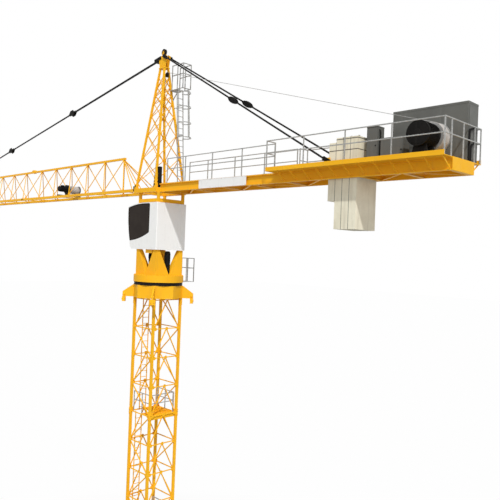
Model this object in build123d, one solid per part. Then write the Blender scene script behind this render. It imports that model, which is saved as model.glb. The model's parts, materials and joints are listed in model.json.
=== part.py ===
from build123d import *
from math import cos, pi, sqrt
import os

# Top-slewing tower crane at half size, in millimetres. The origin is on the foot face under the
# mast axis, +Z is up, the jib points along -X, the counter-jib along +X, and the near side is -Y.

# Mast
MAST_WIDTH = 800.0  # leg centre to leg centre
BAY = 706.0
SECTIONS = 3
BAYS_PER_SECTION = 4
LEG = 58.0
BRACE = 22.0
FOOT_RISE = 135.0  # foot face to the lowest node
FOOT_PAD = 330.0
FOOT_THICK = 60.0
FOOT_BEAM = 180.0
ANCHOR_OFFSET = 95.0  # leg axis to anchor hole, along X and along Y
ANCHOR_HOLE_R = 16.0
SOCKET = 70.0  # sleeve round each leg at a section joint
SOCKET_LENGTH = 170.0
FLOOR_PLATE = 10.0
HATCH = 330.0
LADDER_WIDTH = 180.0
LADDER_STILE = 18.0
RUNG = 12.0
RUNG_PITCH = 150.0
MAST_LADDER_X = -310.0
MAST_LADDER_Y = (-120.0, -220.0, -120.0)
REST_BEAM = 90.0  # depth of the beam under the rear edge of a rest platform
REST_BEAM_THICK = 40.0
REST_RAIL_HEIGHT = 500.0
REST_RAIL_GAP = 10.0  # rest platform rail to the leg faces

# Slewing parts
COLLAR_R = 617.0  # to the eight upright edges
COLLAR_HEIGHT = 315.0
COLLAR_GAP = 33.0  # top mast node to the underside of the collar
COLLAR_HOLE_R = 300.0
ARM_TIP_R = 885.0
ARM_WIDTH = 36.0
ARM_TIP_RISE = 123.0  # underside of the collar to the top of an arm at its tip
ARM_LUG = 70.0
ARM_LUG_WIDE = 140.0
ARM_LUG_DROP = 123.0
ARM_LUG_TAPER = 10.0
RING_R = 595.0
RING_HOLE_R = 430.0
RING_LOWER_HEIGHT = 38.0
RING_UPPER_HEIGHT = 42.0
RUNNING_GAP = 0.3
TURNTABLE_R = 617.0
TURNTABLE_HOLE_R = 170.0
TURNTABLE_HEIGHT = 170.0
CROWN_HALF = 410.0
CROWN_WALL = 120.0
CROWN_HEIGHT = 626.0
CROWN_SILL = 15.0  # height left under each notch
CROWN_POST_TOP = 105.0  # width of a corner post at its top
DRIVE_R = 70.0
DRIVE_GEAR = 240.0  # height of the gearbox under the motor
DRIVE_STEP = 12.0  # gearbox radius is this much smaller
DRIVE_HEIGHT = 560.0
DRIVE_X = 330.0
DRIVE_ROOM = 5.0
ACCESS_X = (-100.0, 410.0)
ACCESS_Y = (300.0, 810.0)
ACCESS_FLOOR = 12.0
ACCESS_RISE = 10.0  # turntable underside to the access platform
ACCESS_RAIL_FRONT = 240.0  # length of rail on the short side

# Cab
CAB_FRONT = -794.0
CAB_REAR = 445.0
CAB_HALF = 445.0
CAB_HEIGHT = 1155.0
CAB_WALL = 25.0
CAB_CORNER_R = 20.0  # rounding of the rear upright edges
CAB_TOE = 124.0  # the foot of the front stands back by this much
CAB_TOE_R = 120.0
CAB_BOW = 43.0  # bulge of the front
CAB_BROW = 92.0  # drop of the roof at its front edge
CAB_ROOF_BOW = 28.0
CAB_ROOF_FLAT = -30.0  # x where the roof starts to dip
CAB_POST = 70.0
CAB_POST_INSET = 5.0
WINDOW_FRAME = 26.0
WINDOW_REAR = 130.0
WINDOW_SILL = 215.0
WINDOW_SILL_REAR = 425.0
WINDOW_SAG = 58.0  # belly of the lower window edge
WINDOW_R = 40.0
GLASS = 8.0
DOOR = (-120.0, 180.0)
DOOR_HEIGHT = 960.0
DOOR_GAP = 0.5
DOOR_POST = 40.0  # far window to the door

# Head
HEAD_BASE_GAP = 15.0  # cab roof to the base frame
HEAD_BASE_HEIGHT = 343.0
HEAD_BASE_HALF = 475.0
HEAD_BASE_POST = 60.0
HEAD_BASE_SIDE = 120.0  # width of the beams under the legs
HEAD_BASE_FRONT = 140.0
HEAD_BASE_RING = 80.0
HEAD_BASE_TOP_RING = 110.0
HEAD_FOOT_MARGIN = 45.0
JIB_LUG = 50.0
HEAD_HEIGHT = 3057.0
HEAD_FOOT_X = (-481.0, 328.0)
HEAD_FOOT_HALF = 440.0
HEAD_TOP_X = (-185.0, -15.0)
HEAD_TOP_HALF = 58.0
HEAD_LEG = 46.0
HEAD_BRACE = 15.0
HEAD_NODES = (0.061, 0.26, 0.445, 0.602, 0.706, 0.772, 0.8435, 0.924)
CAP_PLATE = 30.0
CAP_MARGIN = 30.0  # plate beyond the leg tops along X
CAP_SIDE_MARGIN = 30.0
CHEEK_IN = 40.0
CHEEK_OUT = 62.0
KNUCKLE_R = 50.0
PIN_R = 22.0
PIN_HEAD = 14.0
PULLEY_X = -125.0
PULLEY_RISE = 427.0  # above the head legs
PULLEY_R = 85.0
PULLEY_WIDTH = 44.0
PULLEY_FORK = (26.0, 36.0)
PULLEY_FORK_FOOT = 130.0
PULLEY_EAR_R = 28.0
AXLE_R = 14.0
SHEAVE_DROP = 160.0  # below the top of the head legs
SHEAVE_Y = 20.0
SHEAVE_R = 64.0
SHEAVE_WIDTH = 24.0
GROOVE = 14.0
HEAD_LADDER_Y = 190.0
HEAD_LADDER_FOOT = 490.0
HEAD_LADDER_TOP = 334.0
HEAD_LADDER_STAYS = (0.165, 0.45, 0.677)
CAGE_R = 185.0
CAGE_OFFSET = 150.0  # ladder to the middle of the cage
CAGE_BAR = 8.0
HOOP = 22.0
HOOP_DROPS = (85.0, 451.0, 845.0, 1212.0)  # below the head platform
HEAD_FLOOR_RISE = 2487.0  # above the foot of the head legs
HEAD_FLOOR_X = (60.0, 600.0)
HEAD_FLOOR_Y = (60.0, 320.0)
HEAD_HATCH = (348.0, 560.0)
HEAD_HATCH_HALF = 105.0
HEAD_RAIL_START = 150.0
HEAD_RAIL_HEIGHT = 612.0
HEAD_BRACKET = 240.0

# Jib
JIB_ROOT = -600.0
JIB_BAY = 955.0
JIB_FIRST_NODE = -1267.5
JIB_SECTION = 5915.0
JIB_SECTION_BAYS = (6, 6, 2)
JIB_TIP_REACH = 492.5  # beyond the last bottom node
JIB_ROOT_BARS = (40.0, 250.0)  # feet of the two root bars, from the root
JOINT_R = 55.0  # long lug with two pins at a section joint of the top chord
JOINT_REACH = 45.0
JOINT_THICK = 76.0
JOINT_RISE = -16.0
JIB_HALF = 335.0
JIB_CHORD = 72.0
JIB_RISE = 284.0  # head base frame to the underside of the bottom chords
JIB_TOP_CHORD = 56.0
JIB_HEIGHT = 940.0  # bottom chord axis to top chord axis
JIB_LACING = 17.0

# Counter-jib
GIRDER_WEB = 320.0  # axis to the inner face of the web
GIRDER_WEB_THICK = 12.0
GIRDER_FLANGE = 50.0
GIRDER_FLANGE_THICK = 20.0
GIRDER_RISE = 233.0  # head base frame to the underside of the girders
GIRDER_HEIGHT = 202.0
GIRDER_END = 7925.0
CROSSBEAM = 60.0
CROSSBEAM_DEEP = 180.0
CROSSBEAMS = (700.0, 1640.0, 2580.0, 3520.0, 4460.0, 5350.0, 6200.0, 7050.0, 7880.0)
DECK_START = 4175.0
DECK_HALF = 640.0
DECK_EDGE = 10.0
DECK_EDGE_DROP = 10.0
DECK_EDGE_RISE = 70.0
FLOOR_GAP = 10.0  # floors to the ballast
END_PLATE = 12.0
STRUT_THICK = 10.0
STRUT_PITCH = 312.0
STRUTS = 12
STRUT_START = 280.0  # front end of the deck to the first strut
WALK_RAIL_START = 640.0
RAIL_PITCH = 939.0
RAIL_BAR = 18.0
RAIL_HEIGHT = 595.0
RAIL_MID_SHARE = 0.571
RAIL_GAP = 0.5  # between rails that meet at a corner
WALK_RAIL_GAP = 20.0
REAR_POST = 400.0

# Ballast and machinery
BALLAST_START = 5480.0
SLAB = 157.5
SLAB_HALF = 312.0
SLAB_GAP = 2.0
SLAB_RISES = (464.0, 544.0, 544.0, 544.0)  # above the girders
SLAB_DROPS = (600.0, 1115.0, 1115.0, 1115.0)  # below the top of the girders
HANGER = 50.0
HANGER_ROOM = 1.0
CABINET = (6460.0, 7865.0, 245.0, 605.0)
CABINET_HEIGHT = 1000.0
CONTROL_BOX = (6215.0, 6440.0, -200.0, 0.0)
CONTROL_BOX_HEIGHT = 684.0
BRAKE_BOX = (6500.0, 6950.0, -200.0, 0.0)
BRAKE_BOX_HEIGHT = 455.0
DRUM_X = 7325.0
DRUM_AXIS_RISE = 430.0
MOTOR_R = 198.0
MOTOR_SPAN = (-400.0, 0.0)
DRUM_R = 240.0
DRUM_SPAN = (6.0, 214.0)
SHAFT_R = 60.0
SADDLE = 170.0
SADDLE_TOP = 70.0
SADDLE_THICK = 30.0
ROPE_R = 5.0
ROPE_GAP = 0.5
ROPE_SOCKET = 40.0
ROPE_SOCKET_HEIGHT = 60.0
SADDLE_Y = (-290.0, -70.0)
FLANGE_R = 262.0
FLANGE_THICK = 22.0
TROLLEY_DRUM_X = -4700.0
TROLLEY_DRUM_RISE = 209.0
TROLLEY_DRUM_R = 105.0
TROLLEY_DRUM_SPAN = (-34.0, 300.0)
TROLLEY_FLANGE_R = 122.0
TROLLEY_FLANGE = 16.0
TROLLEY_CASE_R = 135.0
TROLLEY_SHAFT_R = 40.0
TROLLEY_MOTOR_R = 75.0
TROLLEY_SEAT = 60.0
TROLLEY_BEAM = 30.0
TROLLEY_GEAR = 70.0
TROLLEY_PLATE = 12.0
TROLLEY_ROOM = 6.0
TROLLEY_MOTOR_GAP = 20.0  # motor end to the outer face of the chord

# Ties
TIE_R = 16.0
TIE_R_HEAD = 19.0
TIE_HEAD_X = -210.0
TIE_HEAD_RISE = 280.0  # above the head legs
TIE_END_OFFSET = 75.0  # first top node of the last section to the tie lug
TIE_END_RISE = 64.0  # above the top chord
TIE_LUG = 40.0
TIE_LUG_HALF = 80.0
TIE_LUG_EDGE = 40.0  # pin centre to the top of the lug
TIE_EYE = 180.0
TIE_EYE_DEEP = 80.0
TIE_JOINTS = (0.335, 0.656)
TIE_LINK = 200.0
TIE_LINK_WIDE = 80.0
TIE_LINK_DEEP = 120.0
REAR_TIE_HEAD_X = 10.0
REAR_TIE_HEAD_RISE = 280.0
REAR_TIE_END_X = 5455.0
REAR_TIE_END_RISE = 155.0
REAR_TIE_JOINT = 0.5
REAR_LUG = (322.0, 346.0)
REAR_LUG_HALF = 60.0
REAR_LUG_EDGE = 45.0

HALF = MAST_WIDTH / 2
BAYS = SECTIONS * BAYS_PER_SECTION
LEG_FACE = HALF - LEG / 2
BRACE_FACE = HALF - BRACE / 2
MAST_TOP = FOOT_RISE + BAYS * BAY
COLLAR_LOW = MAST_TOP + COLLAR_GAP
COLLAR_TOP = COLLAR_LOW + COLLAR_HEIGHT
RING_SPLIT = COLLAR_TOP + RING_LOWER_HEIGHT
TURNTABLE_LOW = RING_SPLIT + RUNNING_GAP + RING_UPPER_HEIGHT
CROWN_LOW = TURNTABLE_LOW + TURNTABLE_HEIGHT
CAB_LOW = CROWN_LOW + CROWN_HEIGHT
CAB_TOP = CAB_LOW + CAB_HEIGHT
HEAD_BASE_LOW = CAB_TOP + HEAD_BASE_GAP
HEAD_LOW = HEAD_BASE_LOW + HEAD_BASE_HEIGHT
HEAD_TOP = HEAD_LOW + HEAD_HEIGHT
JIB_CHORD_LOW = HEAD_BASE_LOW + JIB_RISE
JIB_TOP_AXIS = JIB_CHORD_LOW + JIB_CHORD / 2 + JIB_HEIGHT
JIB_LAST_SECTION = JIB_FIRST_NODE - (len(JIB_SECTION_BAYS) - 1) * JIB_SECTION
JIB_TIP = JIB_LAST_SECTION - JIB_SECTION_BAYS[-1] * JIB_BAY - JIB_TIP_REACH
TIE_END_X = JIB_LAST_SECTION - JIB_BAY / 2 + TIE_END_OFFSET
GIRDER_LOW = HEAD_BASE_LOW + GIRDER_RISE
GIRDER_TOP = GIRDER_LOW + GIRDER_HEIGHT
FLOOR_TOP = GIRDER_TOP + FLOOR_PLATE
FLANGE_EDGE = GIRDER_WEB + GIRDER_FLANGE
GIRDER_START = HEAD_FOOT_X[1] + HEAD_FOOT_MARGIN
BALLAST_END = BALLAST_START + 4 * SLAB
DRUM_Z = FLOOR_TOP + DRUM_AXIS_RISE
TROLLEY_DRUM_Z = JIB_CHORD_LOW + JIB_CHORD + TROLLEY_DRUM_RISE
HEAD_FLOOR = HEAD_LOW + HEAD_FLOOR_RISE
SHEAVE_Z = HEAD_TOP - SHEAVE_DROP
SHEAVE_X = HEAD_TOP_X[1] + (HEAD_FOOT_X[1] - HEAD_TOP_X[1]) * SHEAVE_DROP / HEAD_HEIGHT
PULLEY_Z = HEAD_TOP + PULLEY_RISE
TIE_HEAD_Z = HEAD_TOP + TIE_HEAD_RISE
TIE_END_Z = JIB_TOP_AXIS + JIB_TOP_CHORD / 2 + TIE_END_RISE
REAR_TIE_HEAD_Z = HEAD_TOP + REAR_TIE_HEAD_RISE
REAR_TIE_END_Z = GIRDER_TOP + REAR_TIE_END_RISE
CORNERS = [(1, 1), (-1, 1), (-1, -1), (1, -1)]


def block(low, high):
    """Box between two corners."""
    size = [b - a for a, b in zip(low, high)]
    centre = [(a + b) / 2 for a, b in zip(low, high)]
    return Pos(*centre) * Box(*size)


def bar(start, end, wide, deep, side):
    """Straight bar of rectangular section; wide is measured along side."""
    start = Vector(*start)
    end = Vector(*end)
    run = end - start
    plane = Plane(origin=(start + end) * 0.5, x_dir=side, z_dir=run)
    return plane * Box(wide, deep, run.length)


def brace(start, end, size, side, extra):
    """Lattice bar of square section that runs past both ends, to be cut off at the chords."""
    start = Vector(*start)
    end = Vector(*end)
    over = (end - start).normalized() * extra
    return bar(start - over, end + over, size, size, side)


def rod(start, end, radius):
    """Straight round bar."""
    start = Vector(*start)
    end = Vector(*end)
    run = end - start
    return Plane(origin=(start + end) * 0.5, z_dir=run) * Cylinder(radius, run.length)


def weld(pieces):
    """One solid from bars that cross."""
    return Part() + pieces


def write(name, *solids):
    """Write one node."""
    shape = solids[0] if len(solids) == 1 else Compound(children=list(solids))
    export_step(shape, f"parts/{name}.step")


def mast_level(node):
    return FOOT_RISE + node * BAY


def mirror_y(piece):
    return mirror(piece, about=Plane.XZ)


def foot():
    """Foundation cross under the four legs, with an anchor hole in each pad."""
    reach = HALF * sqrt(2)
    flat = FOOT_THICK / 2
    beams = [Pos(0, 0, flat) * Rot(0, 0, a) * Box(2 * reach, FOOT_BEAM, FOOT_THICK) for a in (45, 135)]
    pads = [Pos(i * HALF, j * HALF, flat) * Box(FOOT_PAD, FOOT_PAD, FOOT_THICK) for i, j in CORNERS]
    hole_at = HALF + ANCHOR_OFFSET
    holes = [Pos(i * hole_at, j * hole_at, flat) * Cylinder(ANCHOR_HOLE_R, FOOT_THICK) for i, j in CORNERS]
    return weld(beams + pads) - holes


def mast_legs(section):
    """Four legs of one mast section, with a sleeve at the top joint."""
    low = FOOT_THICK if section == 0 else mast_level(section * BAYS_PER_SECTION) + SOCKET_LENGTH / 2
    last = section == SECTIONS - 1
    joint = mast_level((section + 1) * BAYS_PER_SECTION)
    high = COLLAR_LOW if last else joint + SOCKET_LENGTH / 2
    sleeve_low = high - SOCKET_LENGTH
    legs = []
    for i, j in CORNERS:
        x = i * HALF
        y = j * HALF
        post = block((x - LEG / 2, y - LEG / 2, low), (x + LEG / 2, y + LEG / 2, high))
        sleeve = block((x - LEG / 2, y - LEG / 2, sleeve_low), (x + LEG / 2, y + LEG / 2, high))
        outward = Pos(i * (SOCKET - LEG) / 2, j * (SOCKET - LEG) / 2, 0)
        legs.append(post + sleeve + outward * sleeve)
    return legs


def trim_side(bars, section):
    """Fuse the bars of one mast side, set on -Y, and cut them off at the legs."""
    floor = mast_level(section * BAYS_PER_SECTION) + (BRACE / 2 if section else -BRACE / 2)
    top = mast_level((section + 1) * BAYS_PER_SECTION) + BRACE / 2
    room = block((-LEG_FACE, -HALF - BRACE, floor), (LEG_FACE, -HALF + BRACE, top))
    return weld(bars) & room


def mast_side(section, kind):
    """One side of a mast section, on -Y: a rail at every node and diagonals between."""
    first = section * BAYS_PER_SECTION
    y = -HALF
    bars = []
    for node in range(first + (1 if section else 0), first + BAYS_PER_SECTION + 1):
        z = mast_level(node)
        bars.append(bar((-HALF, y, z), (HALF, y, z), BRACE, BRACE, (0, 1, 0)))
    for node in range(first, first + BAYS_PER_SECTION):
        low = mast_level(node)
        high = mast_level(node + 1)
        if kind == "chevron":
            runs = [((0, y, high), (-LEG_FACE, y, low)), ((0, y, high), (LEG_FACE, y, low))]
        else:
            lean = HALF if (BAYS - node) % 2 else -HALF
            runs = [((lean, y, high), (-lean, y, low))]
        bars += [bar(a, b, BRACE, BRACE, (0, 1, 0)) for a, b in runs]
    return trim_side(bars, section)


def ladder(x, y, low, high, seats):
    """Ladder standing in the YZ plane, with flat stays that reach back to the mast side."""
    half = LADDER_WIDTH / 2
    stile = LADDER_STILE / 2
    rung = RUNG / 2
    bars = []
    for at in (y - half, y + half):
        bars.append(block((x - stile, at - stile, low), (x + stile, at + stile, high)))
        for z in seats:
            bars.append(block((-BRACE_FACE, at - stile, z - stile), (x, at + stile, z + stile)))
    for k in range(int((high - low) / RUNG_PITCH)):
        z = low + (k + 0.5) * RUNG_PITCH
        bars.append(block((x - rung, y - half, z - rung), (x + rung, y + half, z + rung)))
    return weld(bars)


def mast_ladders():
    ladders = []
    for section in range(SECTIONS):
        first = section * BAYS_PER_SECTION
        low = mast_level(first) + (FLOOR_PLATE / 2 if section else 0)
        high = mast_level(first + BAYS_PER_SECTION) - FLOOR_PLATE
        seats = [mast_level(first + k) for k in (1, 3)]
        ladders.append(ladder(MAST_LADDER_X, MAST_LADDER_Y[section], low, high, seats))
    return ladders


def corner_blocks(inner, outer, low, high):
    """Four upright blocks that fill the corners between two squares."""
    blocks = []
    for i, j in CORNERS:
        x = sorted((i * inner, i * outer))
        y = sorted((j * inner, j * outer))
        blocks.append(block((x[0], y[0], low), (x[1], y[1], high)))
    return blocks


def mast_platforms():
    """Rest platforms at the section joints: a plate with a hatch over the ladder below, on a rear beam."""
    floors = []
    half = FLOOR_PLATE / 2
    for section in range(1, SECTIONS):
        z = mast_level(section * BAYS_PER_SECTION)
        plate = block((-BRACE_FACE, -BRACE_FACE, z - half), (BRACE_FACE, BRACE_FACE, z + half))
        legs = corner_blocks(LEG_FACE, HALF, z - half, z + half)
        y = MAST_LADDER_Y[section - 1]
        hatch = block((MAST_LADDER_X - LADDER_WIDTH / 4, y - HATCH / 2, z - half),
                      (MAST_LADDER_X + HATCH, y + HATCH / 2, z + half))
        beam = block((BRACE_FACE - REST_BEAM_THICK, -LEG_FACE, z - half - REST_BEAM),
                     (BRACE_FACE, LEG_FACE, z - half))
        floors.append((plate - legs - hatch) + beam)
    return floors


def mast_platform_rails():
    """Guard rail on three sides of each rest platform, open towards the ladder."""
    half = RAIL_BAR / 2
    at = LEG_FACE - REST_RAIL_GAP - half
    inner = at - half - RAIL_GAP
    rails = []
    for section in range(1, SECTIONS):
        low = mast_level(section * BAYS_PER_SECTION) + FLOOR_PLATE / 2
        near = rail((-at, -at), (at, -at), low, (half, at, 2 * at - half), REST_RAIL_HEIGHT)
        rear = rail((at - half, -inner), (at - half, inner), low, (half, 2 * inner - half), REST_RAIL_HEIGHT)
        rails += [near, mirror_y(near), rear]
    return rails


def collar():
    """Slewing support: an octagonal box with a thin wedge arm and a wide hanging lug on each diagonal."""
    body = Pos(0, 0, COLLAR_LOW) * extrude(RegularPolygon(COLLAR_R, 8), COLLAR_HEIGHT)
    root = COLLAR_R - ARM_WIDTH
    lug_low = COLLAR_LOW - ARM_LUG_DROP
    lug_in = ARM_TIP_R - ARM_LUG
    outline = Polyline((root, COLLAR_TOP), (COLLAR_R, COLLAR_TOP),
                       (ARM_TIP_R, COLLAR_LOW + ARM_TIP_RISE), (ARM_TIP_R, lug_low), (lug_in, lug_low),
                       (lug_in - ARM_LUG_TAPER, COLLAR_LOW), (root, COLLAR_LOW), close=True)
    plate = extrude(Plane.XZ * make_face(outline), ARM_WIDTH / 2, both=True)
    half = ARM_LUG_WIDE / 2
    arm = plate + block((lug_in, -half, lug_low), (ARM_TIP_R, half, COLLAR_LOW))
    arms = [Rot(0, 0, a) * arm for a in (45, 135, 225, 315)]
    shaft = Pos(0, 0, COLLAR_LOW + COLLAR_HEIGHT / 2) * Cylinder(COLLAR_HOLE_R, COLLAR_HEIGHT)
    return weld([body] + arms) - shaft


def ring(outer, inner, low, high):
    middle = Pos(0, 0, (low + high) / 2)
    return middle * (Cylinder(outer, high - low) - Cylinder(inner, high - low))


def crown():
    """Thick square tube cut by a V notch in every face, with a pocket for each slewing drive."""
    middle = Pos(0, 0, CROWN_LOW + CROWN_HEIGHT / 2)
    outside = 2 * CROWN_HALF
    inside = outside - 2 * CROWN_WALL
    tube = middle * (Box(outside, outside, CROWN_HEIGHT) - Box(inside, inside, CROWN_HEIGHT))
    mouth = CROWN_HALF - CROWN_POST_TOP
    sill = CROWN_LOW + CROWN_SILL
    notch = Polyline((0, sill), (mouth, CAB_LOW), (-mouth, CAB_LOW), close=True)
    cut = extrude(Plane.XZ * make_face(notch), CROWN_HALF, both=True)
    pockets = [upright(x, DRIVE_R + DRIVE_ROOM, CROWN_LOW, CAB_LOW) for x in (DRIVE_X, -DRIVE_X)]
    return tube - cut - Rot(0, 0, 90) * cut - pockets


def upright(x, radius, low, high):
    """Round upright on the X axis."""
    return rod((x, 0, low), (x, 0, high), radius)


def slewing_drives():
    """Two gearboxes on the turntable, each with its motor on top."""
    drives = []
    shoulder = CROWN_LOW + DRIVE_GEAR
    for x in (DRIVE_X, -DRIVE_X):
        gear = upright(x, DRIVE_R - DRIVE_STEP, CROWN_LOW, shoulder)
        drives.append(gear + upright(x, DRIVE_R, shoulder, CROWN_LOW + DRIVE_HEIGHT))
    return drives


def access_platform():
    """Small platform beside the turntable, with a rail along its two outer sides."""
    low = TURNTABLE_LOW + ACCESS_RISE
    top = low + ACCESS_FLOOR
    floor = block((ACCESS_X[0], ACCESS_Y[0], low), (ACCESS_X[1], ACCESS_Y[1], top))
    round_cut = Pos(0, 0, (low + top) / 2) * Cylinder(TURNTABLE_R + RUNNING_GAP, ACCESS_FLOOR)
    x = ACCESS_X[1] - RAIL_BAR / 2
    y = ACCESS_Y[1] - RAIL_BAR / 2
    start = (x, y - ACCESS_RAIL_FRONT)
    end = (ACCESS_X[0] + RAIL_BAR / 2, y)
    run = x - end[0]
    short = rail(start, (x, y), top, (0, ACCESS_RAIL_FRONT))
    long = rail((x, y), end, top, (0, run / 2, run))
    return weld([floor - round_cut, short, long])


def cab_posts():
    """Four posts that carry the head through the cab."""
    outer = CROWN_HALF - CAB_POST_INSET
    return corner_blocks(outer - CAB_POST, outer, CAB_LOW, HEAD_BASE_LOW)


def cab_outline():
    """Side outline of the cab: round toe, bowed front, and a roof that dips to the brow."""
    toe = CAB_FRONT + CAB_TOE
    brow = CAB_TOP - CAB_BROW
    toe_top = CAB_LOW + CAB_TOE_R
    shy = CAB_TOE_R * (1 - sqrt(0.5))
    front_middle = ((toe + CAB_FRONT) / 2 - CAB_BOW, (toe_top + brow) / 2)
    roof_middle = ((CAB_FRONT + CAB_ROOF_FLAT) / 2, CAB_TOP - CAB_BROW / 2 + CAB_ROOF_BOW)
    return make_face([
        Line((CAB_REAR, CAB_LOW), (toe + CAB_TOE_R, CAB_LOW)),
        ThreePointArc((toe + CAB_TOE_R, CAB_LOW), (toe + shy, CAB_LOW + shy), (toe, toe_top)),
        ThreePointArc((toe, toe_top), front_middle, (CAB_FRONT, brow)),
        ThreePointArc((CAB_FRONT, brow), roof_middle, (CAB_ROOF_FLAT, CAB_TOP)),
        Line((CAB_ROOF_FLAT, CAB_TOP), (CAB_REAR, CAB_TOP)),
        Line((CAB_REAR, CAB_TOP), (CAB_REAR, CAB_LOW)),
    ])


def cab_window(outline):
    """Side window: follows the front and the roof, with a bellied lower edge."""
    front = CAB_FRONT - CAB_BOW
    sill = CAB_LOW + WINDOW_SILL
    sill_rear = CAB_LOW + WINDOW_SILL_REAR
    belly = ((front + WINDOW_REAR) / 2, (sill + sill_rear) / 2 - WINDOW_SAG)
    field = make_face([
        Line((WINDOW_REAR, CAB_TOP), (WINDOW_REAR, sill_rear)),
        ThreePointArc((WINDOW_REAR, sill_rear), belly, (front, sill)),
        Line((front, sill), (front, CAB_TOP)),
        Line((front, CAB_TOP), (WINDOW_REAR, CAB_TOP)),
    ])
    window = offset(outline, -WINDOW_FRAME) & field
    return fillet(window.vertices().group_by(Axis.X)[-1], WINDOW_R)


def across(face, half):
    """Solid of a side outline, carried to both sides of the middle plane."""
    return extrude(Plane.XZ * face, half, both=True)


def side_plate(face, outer, thick):
    """Plate of a side outline on the near side, with its outer face at y = -outer."""
    return Pos(0, thick - outer, 0) * extrude(Plane.XZ * face, thick)


def cab_shell(outline, posts):
    """Floor, roof, front and rear of the cab, between its two sides."""
    inner = CAB_HALF - CAB_WALL
    band = across(outline - offset(outline, -CAB_WALL), inner)
    toe = CAB_FRONT + CAB_TOE + CAB_TOE_R
    split = CAB_TOP - CAB_BROW - CAB_WALL
    front = CAB_FRONT - CAB_BOW
    back = CAB_REAR - CAB_WALL
    floor = band & block((toe, -inner, CAB_LOW), (back, inner, CAB_LOW + CAB_WALL))
    roof = band & block((front, -inner, split), (back, inner, CAB_TOP))
    nose = band & block((front, -inner, CAB_LOW), (toe, inner, split))
    rear = band & block((back, -inner, CAB_LOW), (CAB_REAR, inner, CAB_TOP))
    return floor - posts, roof - posts, nose, rear


def cab_parts(posts):
    """Hollow cab: its windows and the far door are cut through the walls and filled by panes and a door."""
    outline = cab_outline()
    inner = CAB_HALF - CAB_WALL
    rebate = (CAB_WALL - GLASS) / 2
    floor, roof, nose, rear = cab_shell(outline, posts)
    sill = CAB_LOW + WINDOW_SILL
    lintel = CAB_TOP - CAB_BROW - CAB_WALL - WINDOW_FRAME
    screen = block((CAB_FRONT - CAB_BOW, WINDOW_FRAME - inner, sill), (0, inner - WINDOW_FRAME, lintel))
    screen_band = offset(outline, -rebate) - offset(outline, -rebate - GLASS)
    window = cab_window(outline)
    wall = side_plate(outline, CAB_HALF, CAB_WALL)
    edge = wall.edges().filter_by(Axis.Z).group_by(Axis.X)[-1].sort_by(Axis.Y)[0]
    wall = fillet(edge, CAB_CORNER_R)
    near = wall - side_plate(window, CAB_HALF, CAB_WALL)
    pane = side_plate(window, CAB_HALF - rebate, GLASS)
    far_field = block((CAB_FRONT - CAB_BOW, 0, CAB_LOW), (DOOR[0] - DOOR_POST, CAB_HALF, CAB_TOP))
    far_pane = mirror_y(pane) & far_field
    far_window = mirror_y(side_plate(window, CAB_HALF, CAB_WALL)) & far_field
    door_low = CAB_LOW + CAB_WALL
    door_way = block((DOOR[0], inner, door_low), (DOOR[1], CAB_HALF, door_low + DOOR_HEIGHT))
    far = mirror_y(wall) - far_window - door_way
    door = block((DOOR[0] + DOOR_GAP, inner, door_low + DOOR_GAP),
                 (DOOR[1] - DOOR_GAP, CAB_HALF, door_low + DOOR_HEIGHT - DOOR_GAP))
    write("cab_floor", floor)
    write("cab_roof", roof)
    write("cab_side_walls", near, far)
    write("cab_rear_wall", rear)
    write("cab_front_wall", nose - screen)
    write("cab_glass", pane, far_pane, across(screen_band, inner) & screen)
    write("cab_door", door)


def head_base():
    """Frame over the cab: a slim ring on the cab posts, four posts, and deep beams under the head legs."""
    half = HEAD_BASE_HALF
    side = half - HEAD_BASE_SIDE
    beam_low = HEAD_LOW - HEAD_BASE_TOP_RING
    front = HEAD_FOOT_X[0] - HEAD_FOOT_MARGIN
    rear = HEAD_FOOT_X[1] - HEAD_FOOT_MARGIN
    beams = block((front, -half, beam_low), (GIRDER_START, half, HEAD_LOW))
    beams = beams - block((front + HEAD_BASE_FRONT, -side, beam_low), (rear, side, HEAD_LOW))
    low = HEAD_BASE_LOW
    outer = CROWN_HALF - CAB_POST_INSET
    inner = outer - HEAD_BASE_POST
    ring_top = low + HEAD_BASE_RING
    ring_frame = block((-outer, -outer, low), (outer, outer, ring_top))
    ring_frame = ring_frame - block((-inner, -inner, low), (inner, inner, ring_top))
    posts = corner_blocks(inner, outer, low, beam_low)
    lug = block((JIB_ROOT, -JIB_HALF - JIB_LUG, JIB_CHORD_LOW), (front, -JIB_HALF, JIB_CHORD_LOW + JIB_CHORD))
    return weld([beams, ring_frame, lug, mirror_y(lug)] + posts)


def head_point(i, j, share):
    """Point on the axis of one head leg; share runs from 0 at the foot to 1 at the top."""
    foot_x = HEAD_FOOT_X[1 if i > 0 else 0]
    top_x = HEAD_TOP_X[1 if i > 0 else 0]
    x = foot_x + (top_x - foot_x) * share
    y = j * (HEAD_FOOT_HALF + (HEAD_TOP_HALF - HEAD_FOOT_HALF) * share)
    return (x, y, HEAD_LOW + HEAD_HEIGHT * share)


def head_room():
    """Space between the feet and the tops of the head legs."""
    reach = 2 * HEAD_BASE_HALF
    return block((-reach, -reach, HEAD_LOW), (reach, reach, HEAD_TOP))


def head_legs():
    room = head_room()
    legs = []
    for i, j in CORNERS:
        foot = head_point(i, j, 0)
        top = head_point(i, j, 1)
        legs.append(brace(foot, top, HEAD_LEG, (1, 0, 0), HEAD_LEG) & room)
    return legs


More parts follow.
